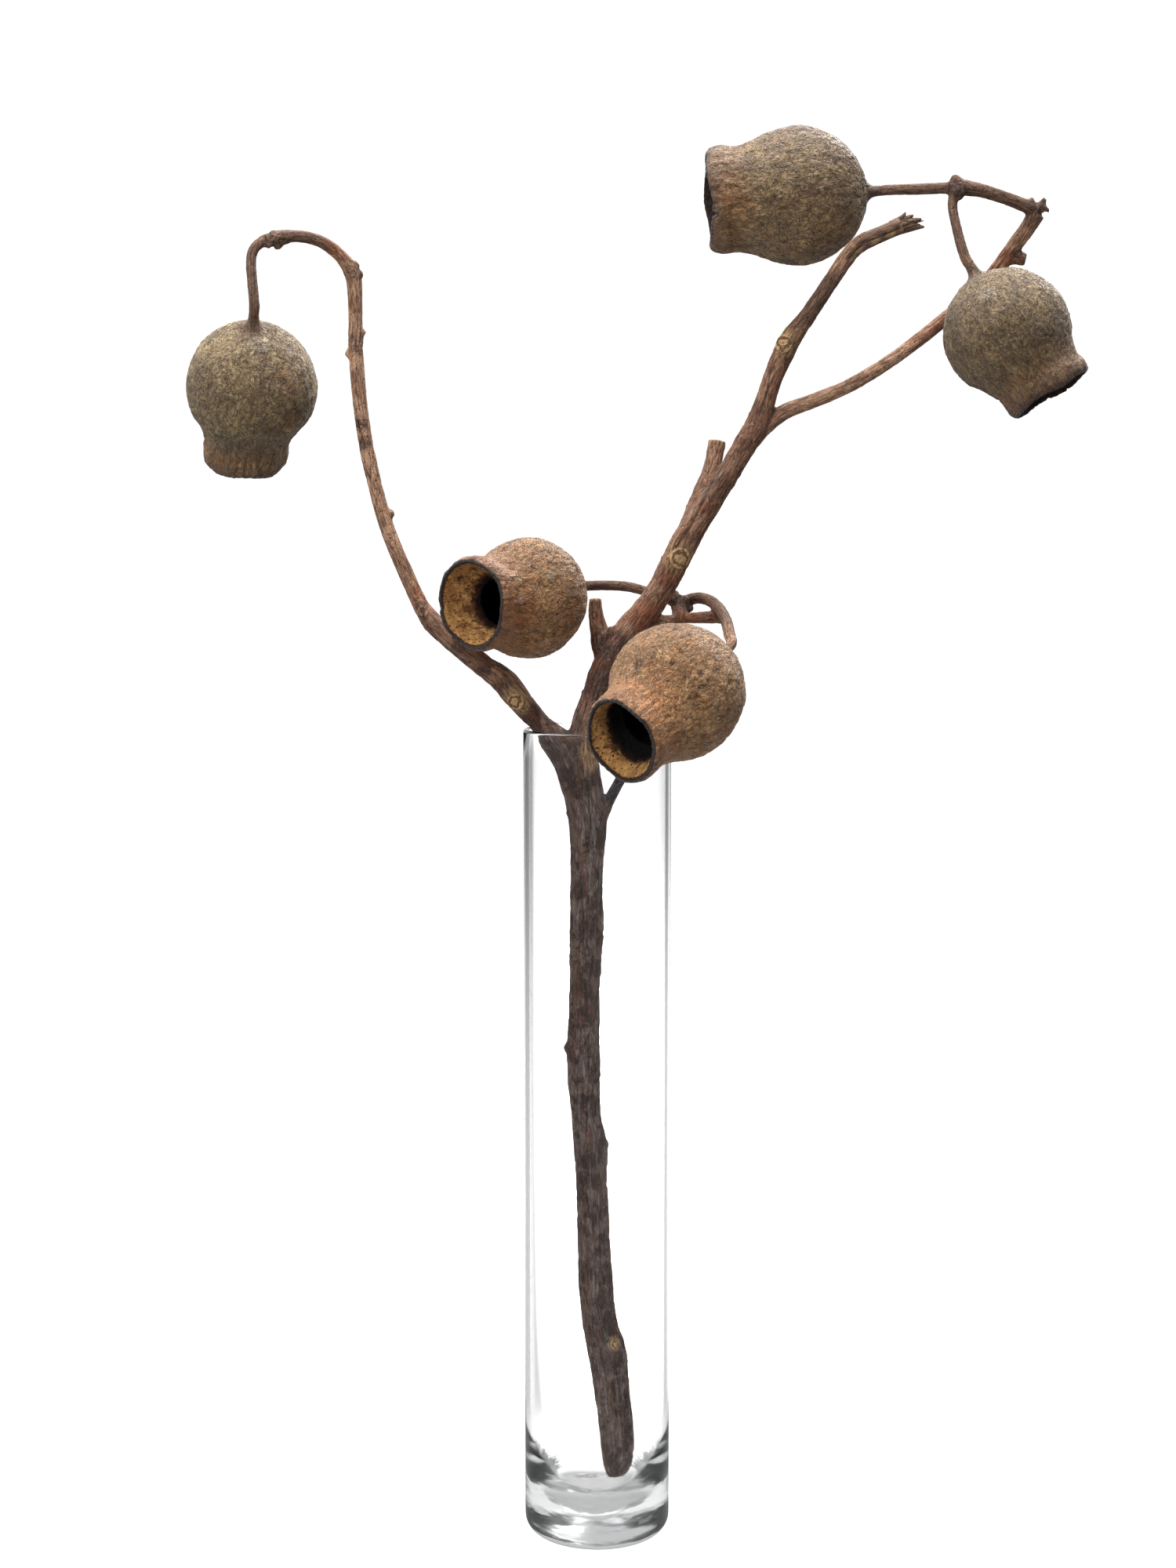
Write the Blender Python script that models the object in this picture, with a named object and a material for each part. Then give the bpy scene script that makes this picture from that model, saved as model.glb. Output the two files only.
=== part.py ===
"""Five dried bell cup pods on their cut branch, standing in a tall clear glass vase.

Sizes are in millimetres and are turned into metres where a mesh is made. +Z is up, -Y is the side that
the open cups face, and the origin is the middle of the vase's foot.
"""

import math

import bmesh
import bpy
from mathutils import Vector

MM = 0.001
TOUCH_GAP = 0.3  # left between two pieces that touch

# The vase: a straight cylinder whose inside ends in a rounded bowl over a thick foot.
VASE_RADIUS = 20.0
VASE_HEIGHT = 224.0
VASE_WALL = 1.4
VASE_FOOT_ROUNDING = 5.0
VASE_FLOOR = 8.0
VASE_BOWL_DEPTH = 25.0
VASE_SIDES = 40

# The pods. Each has a round body, a waist and a lip, and opens at the mouth. Lengths are measured from
# the body's middle along the pod's own axis, and the neck turns a little from it, to where the mouth faces.
PODS = {
    "pod_drooping": {
        "centre": (-92.4, 2.0, 315.7),
        "towards_mouth": (-0.1, 0.48, -0.87),
        "mouth_faces": (-0.12, 0.50, -0.86),
        "body": 17.6,
        "waist": 11.6,
        "lip": 11.6,
        "mouth": 10.5,
        "reach": 22.8,
        "lean": (-1.3, 0.3, 0.2),
    },
    "pod_centre_left": {
        "centre": (-18.4, -5.0, 259.5),
        "towards_mouth": (-0.755, -0.645, -0.11),
        "mouth_faces": (-0.75, -0.65, -0.09),
        "body": 16.0,
        "waist": 11.7,
        "lip": 12.4,
        "mouth": 11.8,
        "reach": 21.4,
        "lean": (-0.4, 0.0, 1.3),
    },
    "pod_centre_front": {
        "centre": (20.4, -32.0, 236.3),
        "towards_mouth": (-0.60, -0.64, -0.46),
        "mouth_faces": (-0.67, -0.68, -0.31),
        "body": 18.0,
        "waist": 12.0,
        "lip": 12.0,
        "mouth": 11.4,
        "reach": 24.4,
        "lean": (0.0, 0.0, 0.0),
    },
    "pod_top": {
        "centre": (53.6, 6.0, 365.8),
        "towards_mouth": (-0.995, 0.0, -0.07),
        "mouth_faces": (-0.997, 0.0, -0.07),
        "body": 18.4,
        "waist": 14.0,
        "lip": 14.3,
        "mouth": 12.8,
        "reach": 24.1,
        "lean": (0.0, 0.0, 0.4),
    },
    "pod_right": {
        "centre": (107.7, -8.0, 329.3),
        "towards_mouth": (0.47, -0.17, -0.865),
        "mouth_faces": (0.535, -0.14, -0.835),
        "body": 17.0,
        "waist": 12.0,
        "lip": 12.1,
        "mouth": 11.0,
        "reach": 20.2,
        "lean": (1.9, -0.6, 1.1),
    },
}
POD_SIDES = 28
STALK_STUB = 3.4  # the flared foot of the stalk that stays on a pod
STALK_RADIUS = 1.35
COLLAR_DEPTH = 7.5  # from the mouth's edge in to the narrow ring over the seed chamber
COLLAR_SHARE = 0.37  # the ring's radius as a share of the body's
CHAMBER_SHARE = 0.64
CHAMBER_BACK = 0.52  # how far the chamber runs behind the body's middle, in body radii
LUMP_SHARE = 0.012  # how far a pod's body is out of round
RIM_WAVE = 0.3

# The branch. Every route is a list of (x, y, z, radius), from the thick end to the thin one.
TRUNK = [
    (6.0, 4.6, 12.7, 2.4),
    (6.1, 4.7, 14.3, 3.6),
    (6.2, 4.8, 17.8, 4.5),
    (5.6, 4.8, 27.3, 4.9),
    (4.3, 4.5, 37.6, 5.0),
    (3.0, 4.2, 48.3, 5.4),
    (1.0, 4.0, 56.9, 5.0),
    (-0.3, 3.8, 68.2, 4.8),
    (-1.4, 3.2, 95.1, 4.4),
    (-1.9, 2.8, 108.5, 4.7),
    (-3.1, 2.5, 117.4, 4.2),
    (-3.8, 2.1, 132.0, 4.6),
    (-3.4, 1.5, 152.6, 4.2),
    (-2.9, 1.0, 169.0, 4.7),
    (-2.9, 0.6, 183.1, 4.4),
    (-2.5, 0.4, 197.1, 5.1),
    (-3.1, 0.3, 202.4, 5.3),
    (-4.0, 0.0, 208.5, 5.4),
    (-4.4, 0.0, 214.0, 5.0),
]
RIGHT_LIMB = [
    (-4.2, 0.0, 208.0, 4.2),
    (-3.9, 0.0, 217.0, 4.3),
    (-3.6, 0.0, 222.7, 4.1),
    (-0.6, 0.0, 231.7, 4.0),
    (2.8, 0.0, 240.8, 4.25),
    (8.3, 0.0, 249.6, 4.3),
    (13.3, 0.0, 256.0, 3.8),
    (17.5, 0.0, 262.3, 3.6),
    (21.3, -0.5, 269.9, 3.8),
    (25.4, -1.0, 277.6, 3.6),
    (35.3, -2.0, 293.2, 3.15),
    (39.2, -2.5, 299.9, 3.2),
    (42.1, -3.0, 304.4, 3.4),
    (44.3, -3.5, 310.8, 2.8),
    (46.5, -4.0, 317.6, 2.65),
    (49.3, -4.5, 324.3, 2.9),
    (51.3, -5.0, 328.2, 2.8),
    (55.0, -6.0, 333.2, 2.3),
    (59.0, -8.0, 339.2, 2.1),
    (65.8, -11.5, 349.3, 2.15),
    (69.1, -12.5, 352.2, 2.3),
    (73.5, -13.5, 354.1, 1.65),
    (79.0, -14.0, 356.4, 1.6),
]
LEFT_LIMB = [
    (-4.6, 0.0, 205.0, 4.2),
    (-7.4, -0.3, 215.7, 4.4),
    (-11.0, -1.0, 220.7, 3.9),
    (-15.0, -1.7, 225.1, 2.9),
    (-18.8, -3.0, 229.4, 3.1),
    (-22.2, -3.5, 233.6, 3.4),
    (-25.6, -3.5, 237.6, 3.45),
    (-31.7, -3.5, 242.1, 2.95),
    (-42.0, -3.5, 250.9, 2.9),
    (-45.5, -3.5, 254.7, 2.5),
    (-48.0, -3.5, 258.9, 2.1),
    (-55.2, -3.0, 275.6, 1.95),
    (-59.0, -2.0, 288.0, 1.9),
    (-62.5, 0.0, 304.7, 1.9),
    (-64.3, 1.3, 323.4, 1.95),
    (-64.4, 1.5, 333.7, 1.8),
    (-64.6, 1.5, 341.9, 2.0),
    (-65.2, 1.0, 345.6, 2.2),
    (-67.5, 0.0, 349.0, 1.8),
    (-71.4, -1.0, 352.4, 1.55),
    (-76.0, -2.0, 354.2, 1.5),
    (-81.1, -3.0, 354.6, 1.55),
    (-85.7, -4.0, 353.9, 2.2),
]
RIGHT_TWIG = [
    (42.8, -3.2, 303.4, 2.3),
    (49.6, -2.0, 308.6, 2.1),
    (58.0, -1.0, 311.8, 1.9),
    (66.5, 0.5, 315.4, 1.8),
    (75.0, 2.8, 320.2, 1.75),
    (83.6, 5.3, 326.1, 1.75),
    (93.2, 9.0, 333.5, 1.8),
    (98.9, 11.0, 338.0, 1.8),
    (104.3, 12.0, 342.9, 1.8),
    (108.5, 11.0, 348.2, 1.8),
    (111.4, 10.0, 352.3, 1.95),
    (114.6, 8.5, 357.0, 1.8),
    (117.7, 7.0, 361.6, 2.2),
]
TOP_STALK_BEARER = [
    (117.3, 7.0, 362.3, 1.7),
    (112.5, 6.0, 364.1, 1.4),
    (107.1, 5.0, 365.8, 1.4),
    (101.2, 3.8, 367.3, 1.5),
    (95.2, 2.5, 368.0, 2.4),
]
CUT_STUB = [
    (22.0, 0.0, 272.0, 2.6),
    (27.4, 2.0, 284.9, 2.8),
    (30.4, 3.5, 292.2, 2.55),
    (31.6, 4.5, 297.4, 2.4),
    (32.3, 5.0, 301.2, 2.45),
]
SNAPPED_STUB = [
    (6.0, 0.5, 237.0, 3.1),
    (1.9, 1.0, 244.9, 3.1),
    (0.5, 1.5, 250.4, 2.5),
    (-0.4, 2.0, 254.8, 2.0),
    (-0.5, 2.0, 258.9, 1.5),
]
LOW_SHOOT = [
    (-1.8, 0.0, 193.5, 2.6),
    (2.2, -0.5, 202.5, 1.6),
    (4.7, -2.0, 207.6, 1.4),
    (8.7, -3.5, 215.2, 1.2),
    (11.2, -4.2, 221.6, 1.05),
]
SIDE_SPUR = [
    (14.5, 1.0, 252.3, 2.6),
    (20.8, 3.0, 253.1, 1.3),
    (26.1, 4.0, 253.7, 1.4),
    (34.9, 5.5, 253.8, 1.8),
]
CENTRE_STALK_BEARER = [
    (22.3, 3.5, 253.3, 1.9),
    (22.4, 6.5, 255.7, 2.2),
    (22.7, 9.0, 257.6, 3.1),
]
THORN = [
    (109.4, 10.8, 350.2, 1.6),
    (112.4, 10.3, 350.2, 1.3),
    (114.5, 10.0, 349.5, 1.35),
]
BUMPS = [
    (118.4, 7.0, 363.2, 1.6),
    (95.0, 2.6, 369.8, 1.5),
    (-84.2, -3.4, 352.4, 1.4),
    (-63.3, 1.0, 344.9, 1.2),
    (-62.9, 1.5, 329.6, 1.2),
    (-66.0, 1.5, 324.2, 1.3),
    (-55.3, -2.5, 281.7, 1.2),
    (-45.1, -3.5, 251.9, 1.5),
    (20.9, 8.0, 259.6, 1.6),
    (-1.8, -2.6, 169.5, 2.4),
    (-7.4, 2.0, 135.9, 1.8),
    (1.6, 2.6, 108.8, 1.8),
    (3.2, -0.1, 52.6, 2.0),
]
# The stalks: the points from the branch, before the two that the pod's own place gives.
STALKS = {
    "pod_drooping": [(-85.7, -4.0, 354.1, 1.5), (-88.9, -4.8, 352.6, 1.35), (-91.0, -6.2, 348.6, 1.25)],
    "pod_centre_left": [(22.7, 9.0, 257.6, 1.6), (17.8, 10.5, 258.9, 1.3), (8.2, 11.5, 261.8, 1.3)],
    "pod_centre_front": [
        (22.7, 9.0, 257.6, 1.6),
        (27.0, 9.0, 258.8, 1.45),
        (30.4, 7.0, 258.2, 1.5),
        (33.2, 3.0, 255.8, 1.5),
        (34.6, -3.5, 252.8, 1.5),
        (35.0, -10.5, 250.0, 1.5),
    ],
    "pod_top": [(95.6, 2.5, 367.8, 1.35), (90.1, 3.0, 367.6, 1.15), (83.9, 4.2, 367.5, 1.2)],
    "pod_right": [(95.0, 2.5, 368.0, 1.35), (94.0, 0.8, 362.9, 1.2), (94.9, -1.3, 357.0, 1.2)],
}
LIMB_SIDES = 10
TWIG_SIDES = 8
STALK_SIDES = 7
RING_SPACING = 2.1  # rings along a limb, in radii of the limb
BUMP_SIDES = 8

# The torn end of the right limb: a few wood splinters left standing.
TORN_END = (80.6, -14.1, 357.9)
SPLINTERS = [(3.6, 0.2, 2.4, 0.55), (4.4, 0.4, 0.3, 0.6), (3.4, -0.9, 1.3, 0.5), (3.7, 0.9, -0.9, 0.5)]
SPLINTER_TIP = 0.18
SPLINTER_ROOT = 2.2


def clear_scene():
    for obj in list(bpy.data.objects):
        bpy.data.objects.remove(obj, do_unlink=True)


def make_material(name, colour, roughness, alpha=1.0):
    material = bpy.data.materials.new(name)
    material.use_nodes = True
    shader = material.node_tree.nodes["Principled BSDF"]
    shader.inputs["Base Color"].default_value = (*colour, 1.0)
    shader.inputs["Roughness"].default_value = roughness
    shader.inputs["Metallic"].default_value = 0.0
    shader.inputs["Alpha"].default_value = alpha
    return material


def make_object(name, bm, material):
    """The mesh, given in millimetres, as an object in metres with its faces pointing out."""
    bmesh.ops.recalc_face_normals(bm, faces=bm.faces)
    bmesh.ops.scale(bm, vec=(MM, MM, MM), verts=bm.verts)
    mesh = bpy.data.meshes.new(name)
    bm.to_mesh(mesh)
    bm.free()
    mesh.shade_smooth()
    mesh.set_sharp_from_angle(angle=math.radians(50))
    obj = bpy.data.objects.new(name, mesh)
    bpy.context.scene.collection.objects.link(obj)
    mesh.materials.append(material)
    return obj


def join_rings(bm, rings):
    """Faces between neighbouring rings, and a cap on the first and the last."""
    for lower, upper in zip(rings, rings[1:]):
        count = len(lower)
        for i in range(count):
            bm.faces.new((lower[i], lower[(i + 1) % count], upper[(i + 1) % count], upper[i]))
    bm.faces.new(rings[0][::-1])
    bm.faces.new(rings[-1])


def smooth_route(points, spacing):
    """Points of a smooth curve through the given ones, each with its blended radius."""
    values = [Vector(p) for p in points]
    route = []
    for i in range(len(values) - 1):
        before = values[max(i - 1, 0)]
        start, end = values[i], values[i + 1]
        after = values[min(i + 2, len(values) - 1)]
        length = (end.xyz - start.xyz).length
        steps = max(1, round(length / (spacing * 0.5 * (start.w + end.w))))
        for k in range(steps):
            t = k / steps
            route.append(
                0.5
                * (
                    2 * start
                    + (end - before) * t
                    + (2 * before - 5 * start + 4 * end - after) * t * t
                    + (3 * start - before - 3 * end + after) * t * t * t
                )
            )
    route.append(values[-1])
    return route


def across(direction, hint):
    """Two unit vectors square to the direction, the first as near to the hint as can be."""
    first = (hint - direction * hint.dot(direction)).normalized()
    return first, direction.cross(first)


def tube(points, sides, material, name):
    """A closed round tube along a smooth route, its radius changing along it."""
    route = smooth_route(points, RING_SPACING)
    bm = bmesh.new()
    rings = []
    hint = Vector((0.31, 0.95, 0.1))
    for i, point in enumerate(route):
        ahead = route[min(i + 1, len(route) - 1)].xyz - route[max(i - 1, 0)].xyz
        hint, side = across(ahead.normalized(), hint)
        rings.append(
            [
                bm.verts.new(
                    point.xyz
                    + point.w * math.cos(2 * math.pi * k / sides) * hint
                    + point.w * math.sin(2 * math.pi * k / sides) * side
                )
                for k in range(sides)
            ]
        )
    join_rings(bm, rings)
    return make_object(name, bm, material)


def bump(point, material, name):
    """A small round swelling on the bark."""
    bm = bmesh.new()
    bmesh.ops.create_uvsphere(bm, u_segments=BUMP_SIDES, v_segments=BUMP_SIDES // 2 + 1, radius=point[3])
    bmesh.ops.translate(bm, vec=Vector(point[:3]), verts=bm.verts)
    return make_object(name, bm, material)


def splinter(shape, material, name):
    """One torn sliver of wood, standing out of the limb's end."""
    along, up, out, width = shape
    root = Vector(TORN_END)
    tip = root + Vector((along, -0.3 * out, up + 0.9 * out))
    start = root - (tip - root).normalized() * SPLINTER_ROOT + Vector((0.0, 0.25 * up, 0.25 * out))
    return tube([(*start, width), (*tip, SPLINTER_TIP)], 5, material, name)


def pod_frame(pod):
    """The pod's middle, its axis towards the mouth, and the direction across it that is nearest to up."""
    axis = Vector(pod["towards_mouth"]).normalized()
    return Vector(pod["centre"]), axis, across(axis, Vector((0.0, 0.0, 1.0)))[0]


def pod_outside(pod):
    """(distance along the axis, radius) of the outer skin, from the stalk's foot to the mouth's edge."""
    body = pod["body"]
    shoulder = 0.35 * body
    neck = pod["reach"] - shoulder
    return [
        (-body - STALK_STUB, STALK_RADIUS),
        (-body - 0.35 * STALK_STUB, 1.25 * STALK_RADIUS),
        (-0.985 * body, 0.17 * body),
        (-0.93 * body, 0.34 * body),
        (-0.80 * body, 0.585 * body),
        (-0.58 * body, 0.80 * body),
        (-0.30 * body, 0.945 * body),
        (0.0, body),
        (shoulder, 0.94 * body),
        (shoulder + 0.28 * neck, 0.42 * 0.94 * body + 0.58 * pod["waist"]),
        (shoulder + 0.56 * neck, pod["waist"]),
        (shoulder + 0.78 * neck, pod["lip"]),
        (shoulder + 0.93 * neck, 0.5 * (pod["lip"] + pod["mouth"]) + 0.25),
        (pod["reach"], pod["mouth"]),
    ]


def pod_inside(pod):
    """The same for the inner skin, from the mouth's edge in to the back of the seed chamber."""
    body = pod["body"]
    ring = COLLAR_SHARE * body
    chamber = CHAMBER_SHARE * body
    ring_place = pod["reach"] - COLLAR_DEPTH
    return [
        (pod["reach"] - 0.3, pod["mouth"] - 1.2),
        (pod["reach"] - 0.45 * COLLAR_DEPTH, pod["mouth"] - 2.4),
        (ring_place + 0.6, ring + 0.9),
        (ring_place - 0.6, ring),
        (ring_place - 2.2, ring + 1.2),
        (ring_place - 5.5, 0.88 * chamber),
        (0.12 * body, chamber),
        (-0.25 * body, 0.84 * chamber),
        (-CHAMBER_BACK * body, 0.38 * chamber),
    ]


def smoothstep(value):
    value = min(max(value, 0.0), 1.0)
    return value * value * (3 - 2 * value)


def make_pod(name, pod, number, material):
    """One hollow pod: rings down the outside from the stalk to the mouth, then in to the chamber's back."""
    centre, axis, first = pod_frame(pod)
    bm = bmesh.new()
    rings = []
    for along, radius in pod_outside(pod) + pod_inside(pod):
        near_mouth = smoothstep((along - 0.3 * pod["body"]) / (pod["reach"] - 0.3 * pod["body"]))
        near_rim = smoothstep((along - pod["reach"] + 3.0) / 3.0)
        on_body = smoothstep(1.0 + along / pod["body"]) if along < 0 else 1.0
        facing = (axis * (1 - near_mouth) + Vector(pod["mouth_faces"]).normalized() * near_mouth).normalized()
        up, side = across(facing, first)
        middle = centre + axis * along + Vector(pod["lean"]) * near_mouth
        ring = []
        for k in range(POD_SIDES):
            turn = 2 * math.pi * k / POD_SIDES
            lump = 1 + LUMP_SHARE * on_body * (math.sin(2 * turn + number) + math.sin(3 * turn + 2.1 * number))
            wave = RIM_WAVE * near_rim * (math.sin(3 * turn + number) + 0.7 * math.sin(5 * turn + 1.7 * number))
            outward = math.cos(turn) * up + math.sin(turn) * side
            ring.append(bm.verts.new(middle + facing * wave + outward * radius * lump))
        rings.append(ring)
    join_rings(bm, rings)
    return make_object(name, bm, material)


def stalk_route(name):
    """A stalk's points, ending square to the foot that the pod carries."""
    pod = PODS[name]
    centre, axis, _ = pod_frame(pod)
    foot = centre - axis * (pod["body"] + STALK_STUB + TOUCH_GAP)
    before = foot - axis * 2.5 * STALK_RADIUS
    return [*STALKS[name], (*before, 0.97 * STALK_RADIUS), (*foot, STALK_RADIUS)]


def make_branch(material):
    """The whole branch as one solid: the trunk, with every limb, twig, stalk and bump joined to it."""
    trunk = tube(TRUNK, LIMB_SIDES, material, "branch")
    pieces = [
        tube(RIGHT_LIMB, LIMB_SIDES, material, "right_limb"),
        tube(LEFT_LIMB, LIMB_SIDES, material, "left_limb"),
        tube(RIGHT_TWIG, TWIG_SIDES, material, "right_twig"),
        tube(TOP_STALK_BEARER, TWIG_SIDES, material, "top_stalk_bearer"),
        tube(CUT_STUB, TWIG_SIDES, material, "cut_stub"),
        tube(SNAPPED_STUB, TWIG_SIDES, material, "snapped_stub"),
        tube(LOW_SHOOT, TWIG_SIDES, material, "low_shoot"),
        tube(SIDE_SPUR, TWIG_SIDES, material, "side_spur"),
        tube(THORN, TWIG_SIDES, material, "thorn"),
        tube(CENTRE_STALK_BEARER, TWIG_SIDES, material, "centre_stalk_bearer"),
    ]
    pieces += [tube(stalk_route(name), STALK_SIDES, material, f"stalk_{name}") for name in PODS]
    pieces += [bump(point, material, f"bump_{i}") for i, point in enumerate(BUMPS)]
    pieces += [splinter(shape, material, f"splinter_{i}") for i, shape in enumerate(SPLINTERS)]
    grown_on = bpy.data.collections.new("grown_on")
    for piece in pieces:
        bpy.context.scene.collection.objects.unlink(piece)
        grown_on.objects.link(piece)
    join = trunk.modifiers.new("join", "BOOLEAN")
    join.operation = "UNION"
    join.operand_type = "COLLECTION"
    join.collection = grown_on
    graph = bpy.context.evaluated_depsgraph_get()
    joined = bpy.data.meshes.new_from_object(trunk.evaluated_get(graph))
    trunk.modifiers.remove(join)
    trunk.data = joined
    for piece in pieces:
        bpy.data.objects.remove(piece, do_unlink=True)
    bpy.data.collections.remove(grown_on)
    return trunk


def vase_outline():
    """(radius, height) down the inside from its middle, over the lip and down the outside to the foot."""
    inner = VASE_RADIUS - VASE_WALL
    bowl = [
        (inner * math.sin(a), VASE_FLOOR + VASE_BOWL_DEPTH * (1 - math.cos(a)))
        for a in (math.radians(d) for d in (12, 27, 42, 57, 74, 90))
    ]
    lip = [
        (inner, VASE_HEIGHT - 0.8),
        (inner + 0.3 * VASE_WALL, VASE_HEIGHT),
        (inner + 0.7 * VASE_WALL, VASE_HEIGHT),
        (VASE_RADIUS, VASE_HEIGHT - 0.8),
    ]
    foot_centre = VASE_RADIUS - VASE_FOOT_ROUNDING
    foot = [
        (foot_centre + VASE_FOOT_ROUNDING * math.cos(a), VASE_FOOT_ROUNDING * (1 - math.sin(a)))
        for a in (math.radians(d) for d in (0, 22.5, 45, 67.5, 90))
    ]
    return bowl + lip + foot


def make_vase(material):
    bm = bmesh.new()
    rings = []
    for radius, height in vase_outline():
        rings.append(
            [
                bm.verts.new(
                    (
                        radius * math.cos(2 * math.pi * k / VASE_SIDES),
                        radius * math.sin(2 * math.pi * k / VASE_SIDES),
                        height,
                    )
                )
                for k in range(VASE_SIDES)
            ]
        )
    join_rings(bm, rings)
    return make_object("vase", bm, material)


clear_scene()
make_vase(make_material("clear_glass", (0.92, 0.95, 0.95), 0.03, 0.25))
make_branch(make_material("bark", (0.23, 0.13, 0.085), 0.8))
POD_SKIN = make_material("pod_skin", (0.36, 0.235, 0.13), 0.75)
for order, pod_name in enumerate(PODS):
    make_pod(pod_name, PODS[pod_name], order + 1, POD_SKIN)
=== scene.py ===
import math

import bpy
import numpy as np
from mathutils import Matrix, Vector


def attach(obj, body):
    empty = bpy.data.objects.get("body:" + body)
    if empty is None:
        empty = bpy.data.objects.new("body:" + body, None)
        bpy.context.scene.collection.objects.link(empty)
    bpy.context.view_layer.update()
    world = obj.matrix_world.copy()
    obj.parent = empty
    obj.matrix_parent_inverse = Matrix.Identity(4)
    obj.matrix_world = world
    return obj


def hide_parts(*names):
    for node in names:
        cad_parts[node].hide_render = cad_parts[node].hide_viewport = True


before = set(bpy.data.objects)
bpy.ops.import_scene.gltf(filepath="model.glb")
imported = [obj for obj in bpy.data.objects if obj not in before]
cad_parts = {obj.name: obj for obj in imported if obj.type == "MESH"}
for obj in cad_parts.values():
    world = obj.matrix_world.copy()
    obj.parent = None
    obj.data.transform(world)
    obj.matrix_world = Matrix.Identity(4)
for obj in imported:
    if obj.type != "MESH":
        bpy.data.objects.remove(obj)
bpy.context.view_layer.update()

# Camera: at the height of the middle pods and looking slightly down, so that the vase's lip is a
# thin ellipse and its foot shows from above. It is upright on the photograph's own centre line.
LOOKING_DOWN = 6.34  # degrees
view = bpy.data.cameras.new("view")
view.sensor_width = 36.0
view.lens = 62.28
camera = bpy.data.objects.new("camera", view)
camera.location = (-0.0025, -0.730, 0.290)
camera.rotation_euler = (math.radians(90 - LOOKING_DOWN), 0.0, 0.0)
bpy.context.scene.collection.objects.link(camera)
bpy.context.scene.camera = camera
bpy.context.scene.view_settings.view_transform = "Standard"


# Studio: a seamless white table and white walls, lit by a large soft box overhead and two weaker ones from
# the front left and the back right. Clear glass bends the view to the sides, where the room is darker, so
# its edges draw grey lines. The table sends little light back up, so the pods' undersides are dark.
class Wire:
    """A socket of a node tree. It works in sums as a number does, and adds further nodes beside itself."""

    def __init__(self, tree, socket=None):
        self.tree = tree
        self.socket = socket

    def node(self, kind, settings=None, sockets=None, out=0):
        made = self.tree.nodes.new(kind)
        for name, value in (settings or {}).items():
            setattr(made, name, value)
        for name, value in (sockets or {}).items():
            if isinstance(value, Wire):
                self.tree.links.new(value.socket, made.inputs[name])
            elif isinstance(value, tuple) and made.inputs[name].type == "RGBA":
                made.inputs[name].default_value = (*value, 1.0)
            else:
                made.inputs[name].default_value = value
        return Wire(self.tree, made.outputs[out] if len(made.outputs) else None)

    def maths(self, operation, *values):
        return self.node("ShaderNodeMath", {"operation": operation}, dict(enumerate(values)))

    def __add__(self, other):
        return self.maths("ADD", self, other)

    def __sub__(self, other):
        return self.maths("SUBTRACT", self, other)

    def __rsub__(self, other):
        return self.maths("SUBTRACT", other, self)

    def __mul__(self, other):
        return self.maths("MULTIPLY", self, other)

    def __truediv__(self, other):
        return self.maths("DIVIDE", self, other)

    def __rtruediv__(self, other):
        return self.maths("DIVIDE", other, self)

    __radd__ = __add__
    __rmul__ = __mul__

    def most(self, other):
        return self.maths("MAXIMUM", self, other)

    def size(self):
        return self.maths("ABSOLUTE", self)

    def rise(self, low, high):
        """0 up to low and 1 from high on, with a soft step between. It falls where high is below low."""
        sockets = {"Value": self, "From Min": low, "From Max": high}
        return self.node("ShaderNodeMapRange", {"interpolation_type": "SMOOTHSTEP"}, sockets)

    def vector(self, operation, *values, out=0):
        return self.node("ShaderNodeVectorMath", {"operation": operation}, dict(enumerate((self, *values))), out)

    def stretch(self, x, y, z):
        return self.vector("MULTIPLY", (x, y, z))

    def scaled(self, amount):
        return self.node("ShaderNodeVectorMath", {"operation": "SCALE"}, {0: self, "Scale": amount})

    def part(self, letter):
        return self.node("ShaderNodeSeparateXYZ", {}, {0: self}, letter)

    def noise(self, scale, detail=2.0, roughness=0.5, out=0):
        sockets = {"Vector": self, "Scale": scale, "Detail": detail, "Roughness": roughness}
        return self.node("ShaderNodeTexNoise", {}, sockets, out)

    def cells(self, scale, feature="F1"):
        sockets = {"Vector": self, "Scale": scale}
        return self.node("ShaderNodeTexVoronoi", {"feature": feature}, sockets, "Distance")

    def tint(self, under, over):
        """The under colour where this mask is 0, and the over one where it is 1."""
        return self.node("ShaderNodeMix", {"data_type": "RGBA"}, {0: self, 6: under, 7: over}, 2)


def blank_material(name):
    material = bpy.data.materials.new(name)
    material.use_nodes = True
    material.node_tree.nodes.clear()
    return material, Wire(material.node_tree)


def linked(name, data):
    made = bpy.data.objects.new(name, data)
    bpy.context.scene.collection.objects.link(made)
    return made


def side_shade(across, left, right, right_start):
    """How much darker the room is to the left and to the right, for light that clear glass has bent."""
    return left * across.rise(-0.18, -0.28) + right * across.rise(right_start, right_start + 0.12)


walls = bpy.data.worlds.new("walls")
walls.use_nodes = True
walls.node_tree.nodes.clear()
room = Wire(walls.node_tree)
straight = room.node("ShaderNodeLightPath", out="Is Camera Ray")
through = room.node("ShaderNodeLightPath", out="Is Transmission Ray")
mirrored = room.node("ShaderNodeLightPath", out="Is Glossy Ray")
ray_way = room.node("ShaderNodeTexCoord", out="Generated")
behind = ray_way.part("Y").rise(-0.25, 0.55)
through = through * (1.0 - side_shade(ray_way.part("X"), 0.71, 0.64, 0.36))
wall_light = 0.30 + 0.75 * straight.most(through).most(mirrored * behind)
wall_light = wall_light - mirrored * (1.0 - behind) * 0.22
white_walls = room.node("ShaderNodeBackground", {}, {"Color": (1.0, 1.0, 1.0), "Strength": wall_light})
room.node("ShaderNodeOutputWorld", {}, {"Surface": white_walls})
bpy.context.scene.world = walls

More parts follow.
